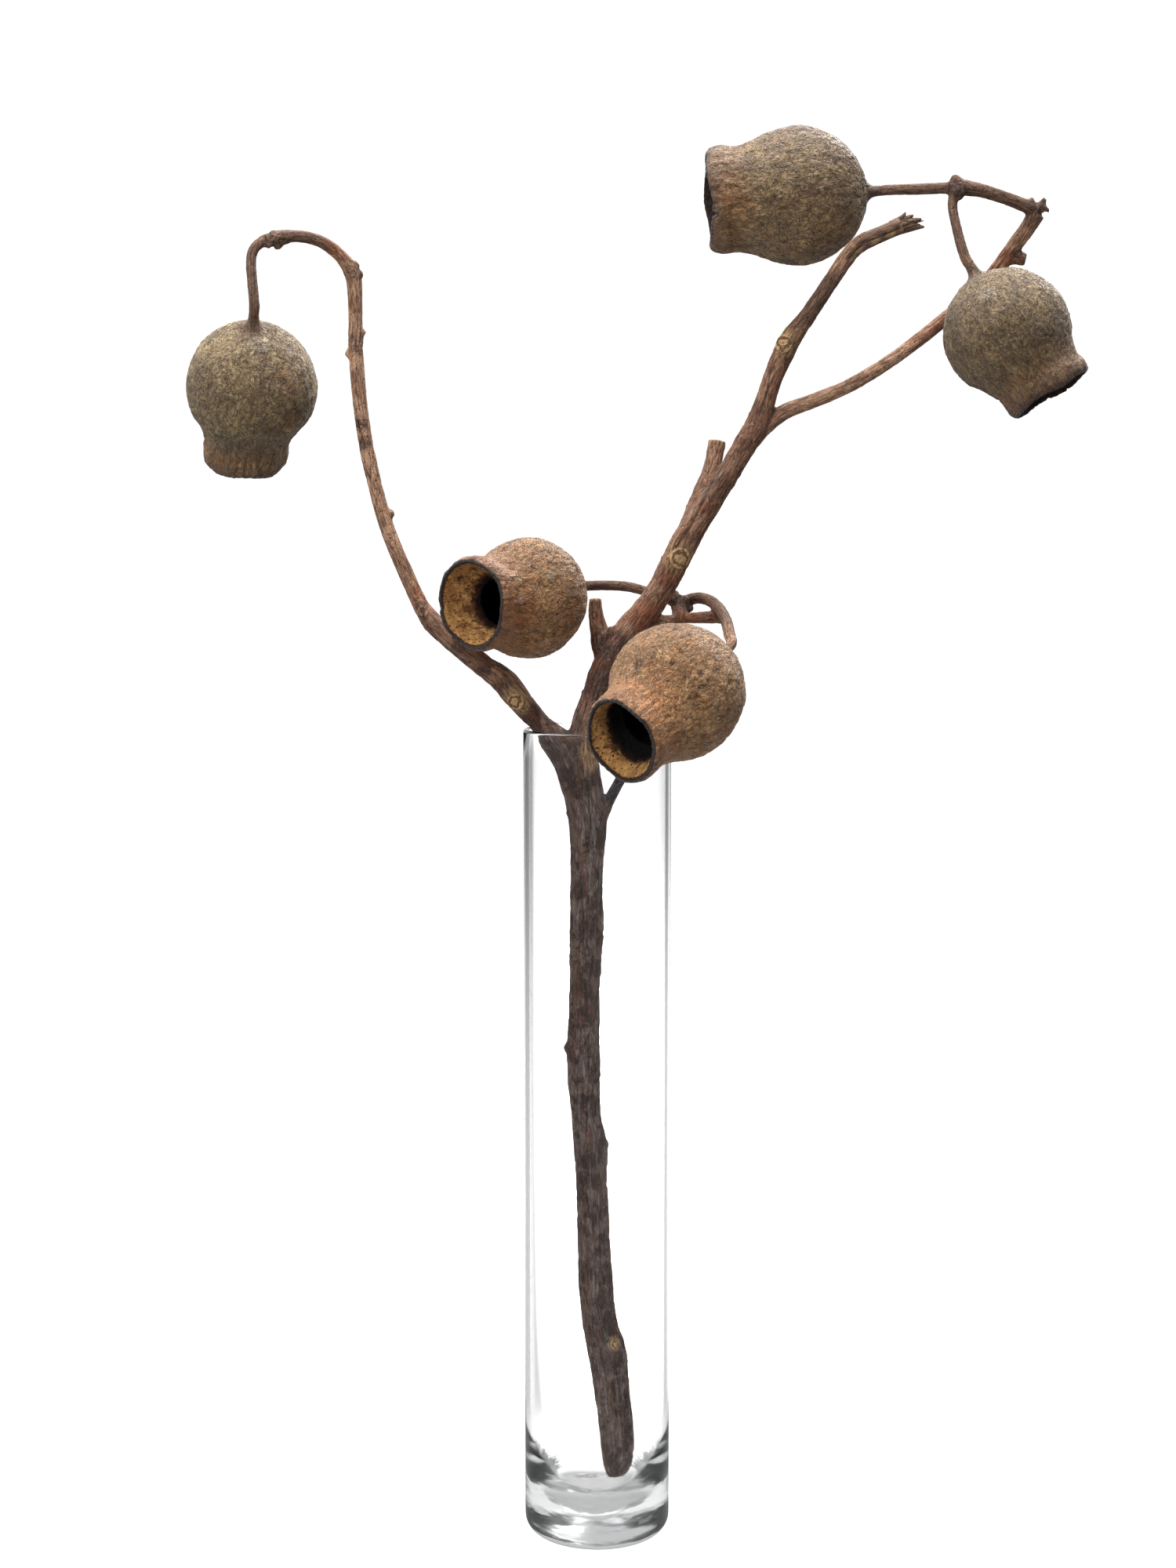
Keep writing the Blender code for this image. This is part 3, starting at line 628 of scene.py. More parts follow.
def bark_tree():
    """Raises the bark: ridges with the grain, knobs, swollen places, cracks, warts, scar rings and splits."""
    sizes = [(name, "Float") for name in BARK_RELIEF]
    tree, (limbs, *heights, finish) = shape_tree("dried_bark", sizes, "Barked")
    ridge, swelling, crack, wart, scar_height, split_depth, gain = heights
    read = reader(limbs)
    thickness, clear, scar, split_and_shade, gnarled = map(read, ("thickness", "clear", "scar", "split_and_shade", "gnarled"))
    grain = reader(limbs, "FLOAT_VECTOR")("grain")
    place = limbs.node("GeometryNodeInputPosition")
    size = 0.25 + 0.75 * thickness.rise(1.0, 4.5)
    ridges = grain.stretch(0.9, 0.9, 0.14).noise(1.0, 3.0, 0.6) - 0.5
    swells = place.stretch(160, 160, 160).noise(1.0) - 0.5
    cracks = grain.stretch(0.55, 0.55, 0.09).cells(1.0, "DISTANCE_TO_EDGE").rise(0.09, 0.0)
    warts = grain.stretch(0.42, 0.42, 0.30).cells(1.0).rise(0.20, 0.05)
    knobs = place.stretch(640, 640, 420).noise(1.0, 3.0, 0.6) - 0.5
    scar_form = scar.rise(1.05, 0.80) - 0.55 * scar.rise(0.66, 0.50)
    scar_form = scar_form + 0.35 * scar.rise(0.45, 0.30) - 0.6 * scar.rise(0.20, 0.05)
    height = size * (clear * (ridge * ridges * 2.0 - crack * cracks + wart * warts) + swelling * swells * 2.0)
    height = height + knobs * ridge * (2.0 * size + 3.2 * gnarled)
    height = height + scar_height * scar_form - split_depth * split_and_shade + gain * thickness.rise(2.6, 1.3)
    raised_skin(limbs, height, finish)
    return tree


bark, on_bark = blank_material("bark")


def painted(colour, coats):
    """Lays coats over a colour, each as (mask, paint)."""
    for mask, paint in coats:
        colour = mask.tint(colour, paint)
    return colour


def stored(start, name, out="Fac"):
    """A number or vector stored on the piece's points, in a material."""
    return start.node("ShaderNodeAttribute", {"attribute_name": name}, out=out)


grain = stored(on_bark, "grain", "Vector")
thickness, stalk, grey_age = (stored(on_bark, name) for name in ("thickness", "stalk", "grey_age"))
cool_shade, bare_wood = (stored(on_bark, name) for name in ("cool_shade", "bare_wood"))
dark_patch, red_patch = (stored(on_bark, name) for name in ("dark_patch", "red_patch"))
scar, split_and_shade, gnarled = (stored(on_bark, name) for name in ("scar", "split_and_shade", "gnarled"))
spot = on_bark.node("ShaderNodeTexCoord", out="Object").stretch(1000, 1000, 1000)
fibres = grain.stretch(1.9, 1.9, 0.30).noise(1.0, 4.0, 0.68)
blotches = spot.noise(0.15, 4.0, 0.68)
fine = spot.noise(1.3, 4.0, 0.74)
streaks = grain.stretch(0.65, 0.65, 0.06).noise(1.0, 4.0, 0.65)
cracks = grain.stretch(0.85, 0.85, 0.16).cells(1.0, "DISTANCE_TO_EDGE").rise(0.055, 0.0)
pores = grain.stretch(0.60, 0.60, 0.42).cells(1.0)
twig_brown = blotches.rise(0.42, 0.60).tint((0.530, 0.315, 0.200), (0.330, 0.180, 0.112))
twig_brown = stalk.tint(twig_brown, (0.175, 0.098, 0.062))
limb_brown = blotches.rise(0.42, 0.56).tint((0.335, 0.182, 0.110), (0.190, 0.092, 0.056))
limb_brown = painted(limb_brown, [
    (streaks.rise(0.54, 0.66), (0.270, 0.108, 0.054)),
    (streaks.rise(0.42, 0.32), (0.290, 0.205, 0.155)),
])
trunk_grey = blotches.rise(0.46, 0.56).tint((0.150, 0.104, 0.088), (0.052, 0.029, 0.023))
trunk_grey = painted(trunk_grey, [
    (streaks.rise(0.52, 0.60) * 0.7, (0.125, 0.056, 0.038)),
    (streaks.rise(0.45, 0.37) * 0.5, (0.230, 0.205, 0.192)),
])
# Painted shade: a cool dark blue-grey on the low shoot and on the fork's right edge.
shoot_shade_grey = blotches.rise(0.44, 0.58).tint((0.066, 0.062, 0.072), (0.038, 0.034, 0.041))
colour = painted(thickness.rise(3.0, 1.9).tint(limb_brown, twig_brown), [
    (grey_age, trunk_grey),
    (cool_shade * 0.85, shoot_shade_grey),
    (red_patch * blotches.rise(0.40, 0.58) * 0.70, (0.270, 0.088, 0.036)),
    (gnarled * fine.rise(0.62, 0.44) * 0.75, (0.060, 0.036, 0.031)),
    (gnarled * fine.rise(0.55, 0.68) * 0.55, (0.300, 0.250, 0.210)),
    (dark_patch * fine.rise(0.34, 0.54) * 0.85, (0.050, 0.024, 0.019)),
    (bare_wood * scar.rise(0.98, 1.02) * fibres.rise(0.20, 0.50), (0.40, 0.255, 0.130)),
    # Dark along the splits and seams: at the fork's seam this dark is painted shade between the two limbs.
    (split_and_shade.rise(0.30, 0.95) * 0.70, (0.040, 0.022, 0.017)),
])
# Painted light and shade: the colour is lightened on the raised fibres and darkened between them.
painted_fibre_shading = fibres.rise(0.34, 0.66).tint((0.42, 0.39, 0.37), (1.40, 1.38, 1.36))
shade = {"data_type": "RGBA", "blend_type": "MULTIPLY"}
colour = on_bark.node("ShaderNodeMix", shade, {0: 1.0, 6: colour, 7: painted_fibre_shading}, 2)
scar_turns = scar * 9.0 + 11.0 * spot.noise(0.50, 3.0, 0.6)
scar_rings = scar_turns.maths("SINE", scar_turns)
scar_wood = scar_rings.rise(-1.0, 0.1).tint((0.170, 0.085, 0.040), (0.600, 0.390, 0.190))
colour = painted(colour, [
    (fine.rise(0.57, 0.70) * (0.25 + 0.10 * grey_age), (0.40, 0.33, 0.28)),
    (fine.rise(0.44, 0.32) * 0.55, (0.045, 0.026, 0.021)),
    (cracks * (0.10 + 0.45 * thickness.rise(2.0, 3.6)), (0.035, 0.020, 0.016)),
    (pores.rise(0.17, 0.10) * fine.rise(0.35, 0.50) * 0.8, (0.035, 0.018, 0.014)),
    (scar.rise(1.0, 0.88) * bare_wood.rise(0.02, 0.10) * 0.94, scar_wood),
])
relief = fibres + fine * 0.8 - cracks * 0.5 - pores.rise(0.20, 0.08) * 0.5
relief = relief + scar.rise(0.98, 0.86) * scar_rings * 0.6
raised = on_bark.node("ShaderNodeBump", {}, {"Strength": 0.9, "Distance": 0.0005, "Height": relief})
bark_skin = on_bark.node(
    "ShaderNodeBsdfPrincipled",
    {},
    {"Base Color": colour, "Roughness": 0.62 + fine * 0.25, "Specular IOR Level": 0.42, "Normal": raised},
)
on_bark.node("ShaderNodeOutputMaterial", {}, {"Surface": bark_skin})


def join(piece, other):
    """Makes the other object a part of this one."""
    both = [piece, other]
    chosen = {"active_object": piece, "selected_editable_objects": both, "selected_objects": both}
    with bpy.context.temp_override(**chosen):
        bpy.ops.object.join()


def knot_route(x, y, z, radius):
    """A short upright route, thin at both ends, that sweeps into a ball."""
    steps = ((-1.0, 0.25), (-0.6, 0.8), (0.0, 1.0), (0.6, 0.8), (1.0, 0.25))
    return [(x, y, z + up * radius, share * radius) for up, share in steps]


limb_sizes = {"Sides": 24, "Ring spacing": 0.0006, "Finish": bark}
knot_sizes = {"Sides": 16, "Ring spacing": 0.0004, "Finish": bark}
sliver_sizes = {"Sides": 8, "Ring spacing": 0.0003, "Finish": bark}
bare_branch = grow("forked_branch", route_mesh("routes", LIMBS.values()), swept_tree(), limb_sizes)
knots = [knot_route(*knot) for knot in KNOTS]
join(bare_branch, grow("knots", route_mesh("knot_routes", knots), swept_tree(), knot_sizes))
fuse = bare_branch.modifiers.new("fuse", "REMESH")
fuse.mode = "VOXEL"
fuse.voxel_size = 0.00049  # coarse enough to keep the branch under 200,000 triangles
settle = bare_branch.modifiers.new("settle", "SMOOTH")
settle.factor = 0.5
settle.iterations = 3
plain_mesh(bare_branch)
measure_bark(bare_branch.data, list(LIMBS.values()))
at = places(bare_branch.data)
GREY_BELOW, GREY_WITHIN = 238, 26  # mm: the old grey bark ends this high and this far from the middle
FORK_GREY = (2.0, -2.0, 240.0, 13.0)
SPLIT_HALF_WIDTH = 0.42
aged = np.clip((GREY_BELOW - at[:, 2]) / 20, 0, 1) * np.clip((GREY_WITHIN - np.abs(at[:, 0])) / 6, 0, 1)
keep(bare_branch.data, "grey_age", np.maximum(aged, 0.7 * patch_mask(at, [FORK_GREY])))
keep(bare_branch.data, "scar", scar_reach(at, RING_SCARS))
keep(bare_branch.data, "split_and_shade", split_mask(at, SPLITS, SPLIT_HALF_WIDTH))
BARK_MARKS = {  # (x, y, z, reach) in mm
    "gnarled": [
        (22.7, 8.0, 257.0, 4.6), (95.2, 2.5, 368.0, 3.4), (118.0, 7.0, 363.0, 4.0),
        (-84.8, -4.0, 353.6, 4.2), (4.0, -1.0, 246.0, 6.5), (-64.2, 1.0, 346.0, 3.4),
        (-63.9, 1.4, 327.0, 4.0), (13.5, 1.0, 252.5, 4.0), (113.5, 10.0, 350.5, 4.0),
        (81.0, -14.1, 357.8, 3.0), (66.5, -12.0, 349.5, 3.0), (-46.0, -3.5, 254.0, 3.0),
    ],
    "stalk": [
        (-90.5, -5.0, 343.0, 16.0), (86.0, 4.0, 367.5, 16.0), (96.0, 0.0, 358.0, 16.0),
        (6.0, 11.0, 261.5, 16.0), (-77.0, -2.0, 354.0, 10.0), (108.0, 5.0, 365.5, 14.0),
        (32.0, 2.0, 255.0, 16.0), (74.0, -14.0, 354.0, 9.0), (58.0, -8.0, 338.0, 12.0),
    ],
    "bare_wood": [
        (5.0, -0.5, 53.3, 2.6), (22.2, -4.2, 269.8, 6.0), (48.9, -7.2, 326.4, 5.0),
        (-21.9, -6.8, 231.6, 5.0), (-0.6, -4.4, 217.0, 5.0), (0.6, -4.3, 223.5, 5.0),
        (-7.2, -4.6, 221.8, 1.4), (6.0, 1.0, 9.3, 3.0), (-0.5, 2.0, 260.0, 2.6), (32.3, 5.0, 302.5, 2.0),
        (67.5, -14.0, 348.4, 2.2), (72.0, -15.4, 352.2, 1.9), (76.0, -16.0, 353.8, 1.8),
        (79.4, -16.0, 355.2, 1.7),
    ],
    "dark_patch": [
        (-2.5, -3.7, 169.7, 4.2), (3.8, -0.6, 48.4, 4.6), (-18.9, -5.4, 228.4, 5.0),
        (-25.6, -6.4, 235.4, 3.6), (-63.2, -1.6, 305.7, 2.6), (-62.1, -2.4, 300.5, 2.6),
        (8.0, -3.0, 246.5, 3.4), (1.0, -3.4, 233.0, 3.0), (22.7, 8.0, 257.0, 3.6), (95.3, 0.6, 367.2, 2.6),
        (48.7, -4.0, 330.8, 2.4), (70.0, -12.0, 350.4, 2.0), (-3.4, -3.4, 251.0, 1.6),
        (-47.0, -5.0, 257.0, 2.2), (-37.0, -5.5, 246.5, 2.6), (-30.0, -6.0, 240.0, 2.4),
    ],
    "red_patch": [
        (13.0, -3.5, 254.5, 7.0), (20.0, -3.5, 266.0, 5.0), (26.5, -3.0, 281.0, 6.0),
        (1.5, -1.5, 246.0, 7.0), (26.0, 3.0, 253.0, 8.0), (88.0, 5.0, 329.0, 10.0),
        (-70.0, -1.0, 351.0, 6.0), (109.0, 10.0, 348.0, 9.0), (0.0, 0.5, 250.5, 5.0),
        (-46.0, -4.0, 259.0, 6.0), (-19.0, -5.5, 229.0, 4.0),
    ],
    # painted shade on the low shoot and the fork's right edge
    "cool_shade": [
        (8.6, -3.6, 215.5, 9.0), (5.0, -2.0, 207.0, 5.0), (2.4, -1.6, 214.0, 4.0),
    ],
}
for mark, patches in BARK_MARKS.items():
    keep(bare_branch.data, mark, patch_mask(at, patches))
branch = grow("branch_with_bark", bare_branch.data, bark_tree(), {**BARK_RELIEF, "Finish": bark})
bpy.data.objects.remove(bare_branch)

slivers = []
for along, up, out, thick in SLIVERS:
    root = Vector(TORN_END)
    tip = root + Vector((along, -0.3 * out, up + 0.9 * out))
    over = max(-1.2, min(1.2, 0.8 * (up - 0.6)))
    root = root + over * Vector((-0.40, 0.0, 0.92)) + Vector((-0.8, 1.1 * out, -0.3))
    back = root - Vector((2.0, -0.2, 0.85))
    bend = (root + tip) / 2 + Vector((0.0, 0.15 * out, -0.12 * up))
    slivers.append([(*back, thick), (*bend, 0.88 * thick), (*tip, 0.28 * thick)])
torn = grow("torn_fibres", route_mesh("sliver_routes", slivers), swept_tree(), sliver_sizes)
measure_bark(torn.data, slivers)
TORN_MARKS = {
    "grey_age": 0.0, "bare_wood": 0.22, "dark_patch": 0.5, "red_patch": 0.0, "stalk": 0.6, "scar": 2.0,
    "split_and_shade": 0.0, "gnarled": 0.75, "cool_shade": 0.0,
}
for mark, value in TORN_MARKS.items():
    keep(torn.data, mark, np.full(len(torn.data.vertices), value))
join(branch, torn)
branch.data.shade_smooth()
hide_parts("branch")
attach(branch, "root")


# Pods: five woody seed cups, each grown as one hollow shell. The round body narrows to a waist and flares
# to a charred-looking lip. Inside it a speckled funnel runs in to the narrow ring over the seed chamber.
TURNS = 256  # points round a pod
ROW_STEP = 0.42  # mm between its rows
COLLAR_DEPTH = 9.0  # mm from the lip down to the narrow ring
POD_MARKS = {  # (x, y, z, reach) in mm, nicks in the lip as (turn, half width, depth), painted light at crown and foot
    "pod_drooping": {
        "pits": [
            (-90.0, -13.4, 307.5, 1.0), (-96.6, -14.6, 319.6, 0.6), (-98.5, 18.0, 312.0, 1.0),
        ],
        "warts": [(-88.7, -11.9, 325.8, 3.5)],
        "rust": [(-80.7, -11.1, 316.7, 5.5), (-82.1, -8.1, 305.5, 5.0)],
        "nicks": [(262, 3, 0.35), (290, 4, 0.25), (240, 3, 0.3)],
        "warmth": 0.0, "painted_light_by_height": (1.30, 1.05), "darkening_from": 6.5, "char_width": 2.0,
    },
    "pod_centre_left": {
        "pits": [
            (-17.3, -14.0, 272.7, 1.0), (-12.8, -14.0, 271.5, 0.8), (-20.1, -19.0, 267.1, 0.7),
            (-10.3, -18.2, 255.4, 0.8), (-5.2, -10.0, 267.0, 0.8), (-13.6, -19.9, 262.6, 0.7),
            (-11.2, -15.7, 250.1, 0.7), (-14.8, -20.0, 263.7, 1.3), (-25.3, -11.9, 272.2, 1.6),
            (-8.0, 7.5, 261.0, 1.1),
        ],
        "warts": [(-21.5, -22.0, 265.5, 2.0), (-12.3, -18.4, 265.8, 1.8), (-20.0, -23.5, 259.2, 1.6)],
        "rust": [(-19.2, -23.2, 256.5, 6.0), (-22.5, -25.5, 260.0, 4.5)],
        "nicks": [(95, 5, 0.4)],
        "warmth": 1.0, "painted_light_by_height": (1.0, 1.35), "darkening_from": 9.4, "char_width": 1.0,
    },
    "pod_centre_front": {
        "pits": [
            (19.5, -38.7, 253.0, 1.1), (17.3, -39.4, 252.4, 0.8), (22.7, -44.4, 249.1, 0.9),
            (20.8, -45.8, 247.8, 1.0), (18.4, -47.8, 244.8, 1.0), (9.8, -44.2, 244.2, 1.9),
            (9.8, -45.4, 241.9, 1.4), (27.6, -46.8, 243.7, 0.8), (26.1, -48.1, 242.0, 1.2),
            (27.9, -47.8, 240.4, 0.9), (33.5, -43.9, 239.6, 1.1), (26.5, -48.8, 238.5, 1.5),
            (24.9, -49.4, 236.4, 0.9), (26.9, -45.0, 225.7, 0.8), (20.8, -44.6, 223.5, 0.8),
            (5.7, -41.1, 241.2, 0.8),
        ],
        "warts": [(12.0, -46.5, 247.5, 2.6)],
        "rust": [(33.2, -42.8, 229.7, 1.5), (15.3, -48.3, 242.1, 6.0), (16.4, -49.5, 237.0, 5.0)],
        "nicks": [(300, 4, 0.3)],
        "warmth": 0.85, "painted_light_by_height": (1.06, 1.65), "darkening_from": 5.6, "char_width": 1.0,
    },
    "pod_top": {
        "pits": [
            (46.1, -10.7, 363.8, 1.0), (45.2, -9.8, 362.3, 1.3), (55.5, -11.5, 360.5, 1.0),
            (56.6, -12.1, 364.1, 0.8), (31.7, -6.9, 366.0, 1.8), (62.6, -8.4, 372.9, 0.8),
            (50.0, 21.0, 372.0, 1.2),
        ],
        "warts": [],
        "rust": [(36.9, -8.2, 361.2, 5.0), (34.0, -9.0, 364.6, 3.5), (35.0, -10.0, 371.0, 4.0)],
        "nicks": [(249, 2.5, 1.3), (262, 3, 0.3)],
        "warmth": 0.25, "painted_light_by_height": (0.80, 1.05), "darkening_from": 6.5, "char_width": 3.2,
    },
    "pod_right": {
        "pits": [
            (111.4, -19.1, 317.0, 1.4), (104.2, -24.2, 333.1, 0.7), (98.8, -21.2, 323.3, 1.0),
            (108.0, 8.0, 326.0, 1.0),
        ],
        "warts": [(101.0, -20.8, 338.3, 3.0)],
        "rust": [(119.5, -13.5, 312.5, 4.0)],
        "nicks": [(285, 2, 0.4), (255, 3, 0.3)],
        "warmth": 0.1, "painted_light_by_height": (0.95, 0.80), "darkening_from": 6.5, "char_width": 2.6,
    },
}


def pod_outline(pod):
    """(along, radius) in mm from the stalk's foot over the lip to the chamber's back, and the lip's row."""
    body, waist, lip, mouth, reach = (pod[size] for size in ("body", "waist", "lip", "mouth", "reach"))
    shoulder = 0.35 * body
    neck = reach - shoulder
    outside = [
        (-body - STALK_STUB, STALK_RADIUS), (-body - 0.35 * STALK_STUB, 1.25 * STALK_RADIUS),
        (-0.985 * body, 0.17 * body), (-0.93 * body, 0.34 * body), (-0.80 * body, 0.585 * body),
        (-0.58 * body, 0.80 * body), (-0.30 * body, 0.945 * body), (0.0, body), (shoulder, 0.94 * body),
        (shoulder + 0.28 * neck, 0.42 * 0.94 * body + 0.58 * waist), (shoulder + 0.56 * neck, waist),
        (shoulder + 0.78 * neck, lip), (shoulder + 0.93 * neck, 0.5 * (lip + mouth) + 0.25),
        (reach - 0.1, mouth),
    ]
    ring, chamber, ring_place = 0.37 * body, 0.64 * body, reach - COLLAR_DEPTH
    inside = [
        (reach - 0.4, mouth - 1.15), (reach - 0.45 * COLLAR_DEPTH, mouth - 2.4),
        (ring_place + 0.6, ring + 0.9), (ring_place - 0.6, ring), (ring_place - 2.2, ring + 1.2),
        (ring_place - 5.5, 0.88 * chamber), (0.12 * body, chamber), (-0.25 * body, 0.84 * chamber),
        (-0.50 * body, 0.42 * chamber), (-0.55 * body, 0.1),
    ]
    outer = smooth_points([(*point, 0, 0) for point in outside], ROW_STEP)[:, :2]
    inner = smooth_points([(*point, 0, 0) for point in inside], ROW_STEP)[:, :2]
    crest = [(reach + 0.05, mouth - 0.35), (reach + 0.05, mouth - 0.75)]
    return np.vstack([outer, crest, inner]), len(outer)


def soft_step(values):
    values = np.clip(values, 0, 1)
    return values * values * (3 - 2 * values)


def unit(vectors):
    return vectors / np.linalg.norm(vectors, axis=-1)[..., None]


def waves(turns, low, high, seed):
    """A ragged wave round the pod, about 1 high, of ripples from low to high to the turn."""
    dice = np.random.default_rng(seed)
    counts = np.arange(low, high)
    heights = dice.normal(size=len(counts)) / np.sqrt(len(counts))
    starts = dice.uniform(0, 2 * math.pi, len(counts))
    return (heights[:, None] * np.sin(counts[:, None] * turns[None, :] + starts[:, None])).sum(0)


def shell_faces(rows):
    """Quads between the rows and a fan of triangles at each end, on a point after all the rows."""
    index = np.arange(rows * TURNS).reshape(rows, TURNS)
    here, ahead = index[:-1], index[1:]
    quads = np.stack([here, np.roll(here, -1, 1), np.roll(ahead, -1, 1), ahead], axis=2).reshape(-1, 4)
    following = np.roll(index, -1, 1)
    foot_fan = [(rows * TURNS, int(after), int(point)) for point, after in zip(index[0], following[0])]
    back_fan = [(rows * TURNS + 1, int(point), int(after)) for point, after in zip(index[-1], following[-1])]
    return quads.tolist() + foot_fan + back_fan


def pod_shell(name, pod, number):
    """The whole shell as rows of points round the pod's bent axis, with what its skin needs to know."""
    outline, crest = pod_outline(pod)
    marks = POD_MARKS[name]
    rows = len(outline)
    along, radius = outline[:, 0][:, None], outline[:, 1][:, None]
    turn = 2 * math.pi * np.arange(TURNS) / TURNS
    body, reach = pod["body"], pod["reach"]
    centre, lean = np.array(pod["centre"]), np.array(pod["lean"])
    axis = np.array(Vector(pod["towards_mouth"]).normalized())
    mouth = np.array(Vector(pod["mouth_faces"]).normalized())
    first = unit(np.array((0.0, 0.0, 1.0)) - axis * axis[2])
    near_mouth = soft_step((along - 0.3 * body) / (reach - 0.3 * body))
    near_rim = soft_step((along - reach + 3.0) / 3.0)
    on_body = soft_step(1.0 + np.minimum(along, 0) / body)
    facing = unit(axis * (1 - near_mouth) + mouth * near_mouth)
    up = unit(first - facing * (facing @ first)[:, None])
    side = np.cross(facing, up)
    middle = centre + axis * along + lean * near_mouth
    lump = 1 + 0.012 * on_body * (np.sin(2 * turn + number) + np.sin(3 * turn + 2.1 * number))[None, :]
    wave = 0.3 * near_rim * (np.sin(3 * turn + number) + 0.7 * np.sin(5 * turn + 1.7 * number))[None, :]
    length = np.concatenate([[0], np.cumsum(np.linalg.norm(np.diff(outline, axis=0), axis=1))])
    from_rim = (length[crest] - length)[:, None]
    on_neck = soft_step((16.0 - from_rim) / 9.0) * (from_rim > 0)
    lip_edge = soft_step((along - reach + 1.3) / 1.3)
    ribs = 0.055 * waves(turn, 16, 60, 10 + number) + 0.09 * waves(turn, 5, 14, 20 + number)
    ribs = on_neck * ribs[None, :]
    wave = wave + lip_edge * 0.06 * waves(turn, 9, 50, 30 + number)[None, :]
    for degrees, half, depth in marks["nicks"]:
        apart = (np.degrees(turn) - degrees + 180) % 360 - 180
        nick = depth * np.clip(1.3 - np.abs(apart) / half, 0, 1)
        wave = wave - soft_step((along - reach + 2.4) / 2.4) * nick[None, :]
    across = np.cos(turn)[None, :, None] * up[:, None, :] + np.sin(turn)[None, :, None] * side[:, None, :]
    out = radius * lump + ribs
    at = middle[:, None, :] + facing[:, None, :] * wave[:, :, None] + across * out[:, :, None]
    points = np.vstack([at.reshape(-1, 3), middle[0], middle[-1]])
    mesh = bpy.data.meshes.new(name)
    mesh.from_pydata((points * 0.001).tolist(), [], shell_faces(rows))

    def each_point(by_row):
        return np.concatenate([np.repeat(by_row, TURNS), [by_row[0], by_row[-1]]])

    round_it = np.stack([np.cos(turn), np.sin(turn), 0 * turn], axis=1)
    about_axis = (radius[:, :, None] * round_it[None, :, :2]).reshape(-1, 2)
    skin = np.column_stack([np.repeat(along, TURNS), about_axis])
    skin = np.vstack([skin, (along[0, 0], 0, 0), (along[-1, 0], 0, 0)])
    round_it = np.vstack([round_it] * rows + [np.zeros((2, 3))])
    outside = each_point(from_rim[:, 0]) > -0.5
    # Painted light: each pod's colour is scaled from its foot's factor up to its crown's, so it is lighter or
    # darker by height.
    height = np.clip((points[:, 2] - centre[2]) / (1.6 * body) + 0.5, 0, 1)
    crown, foot = marks["painted_light_by_height"]
    keep(mesh, "skin", skin + np.array((0.0, 40.0 * number, 0.0)))
    keep(mesh, "from_rim", each_point(from_rim[:, 0]))
    keep(mesh, "from_stalk", each_point(length))
    keep(mesh, "round_it", round_it * 10.0 + np.array((0, 0, 7.0 * number)))
    keep(mesh, "painted_light_by_height", foot + (crown - foot) * height)
    for mark in ("pits", "warts", "rust"):
        keep(mesh, mark, patch_mask(points, marks[mark]) * outside)
    for mark in ("warmth", "darkening_from", "char_width"):
        keep(mesh, mark, np.full(len(points), marks[mark]))
    return mesh


SKIN_RELIEF = {  # metres, and the spacing in mm
    "Wrinkle height": 0.00034, "Wrinkle spacing": 2.1, "Lump height": 0.00030, "Pit depth": 0.00035,
    "Wart height": 0.00030,
}


def wrinkled_tree():
    """Dries the skin: lumps, a net of wrinkles drawn out along the pod, pits, warts, and grit in the funnel."""
    sizes = [(name, "Float") for name in SKIN_RELIEF]
    tree, (shell, *heights, finish) = shape_tree("dried_skin", sizes, "Dried")
    wrinkle, spacing, lump, pit, wart = heights
    read = reader(shell)
    skin = reader(shell, "FLOAT_VECTOR")("skin")
    from_rim, from_stalk, pits, warts = map(read, ("from_rim", "from_stalk", "pits", "warts"))
    outside = from_rim.rise(0.2, 1.2) * from_stalk.rise(1.5, 6.0)
    funnel = from_rim.rise(-0.3, -1.0)
    drawn_out = skin.stretch(0.60, 1.0, 1.0)
    wrinkles = drawn_out.noise(1.0 / spacing, 3.0, 0.70) - 0.5
    grooves = wrinkles.size().rise(0.06, 0.0)
    folds = skin.stretch(0.16, 1.0, 1.0).noise(0.55) - 0.5
    lumps = skin.noise(0.16) - 0.5
    pitted = pits.most(0.7 * drawn_out.cells(0.28).rise(0.16, 0.04))
    grit = skin.cells(0.9).rise(0.45, 0.1)
    height = wrinkles * wrinkle * 1.6 - grooves * wrinkle * 0.8 + folds * wrinkle + lumps * lump * 2.0
    height = outside * (height - pit * pitted + wart * warts) + funnel * (grit * wrinkle * 0.8 + lumps * lump)
    raised_skin(shell, height, finish)
    return tree


pod_skin, on_skin = blank_material("pod_skin")
skin, around = (stored(on_skin, name, "Vector") for name in ("skin", "round_it"))
from_rim, from_stalk, painted_light_by_height = (stored(on_skin, name) for name in ("from_rim", "from_stalk", "painted_light_by_height"))
warmth, darkening_from, char_width = (stored(on_skin, name) for name in ("warmth", "darkening_from", "char_width"))
pits, warts, rust = (stored(on_skin, name) for name in ("pits", "warts", "rust"))
bend = skin.noise(0.16, 1.0, out="Color").vector("SUBTRACT", (0.5, 0.5, 0.5)).stretch(3.5, 3.5, 3.5)
drawn_out = skin.vector("ADD", bend).stretch(0.62, 1.0, 1.0)
fine = drawn_out.noise(1.25, 4.0, 0.72)
long_lines = skin.stretch(0.14, 1.0, 1.0).noise(0.60, 3.0, 0.65)
patches = drawn_out.noise(0.45, 3.0, 0.6)
groove = (drawn_out.noise(0.42, 3.0, 0.62) - 0.5).size().rise(0.030, 0.0)
fine_groove = (drawn_out.noise(0.85, 3.0, 0.65) - 0.5).size().rise(0.060, 0.0)
mottle = skin.noise(0.115, 3.0, 0.6)
clouds = skin.noise(0.30, 3.0, 0.65)
neck = from_rim.rise(15.0, 6.0)
neck_lines = around.noise(1.15, 3.0, 0.65)
crinkled = 1.0 - 0.55 * neck

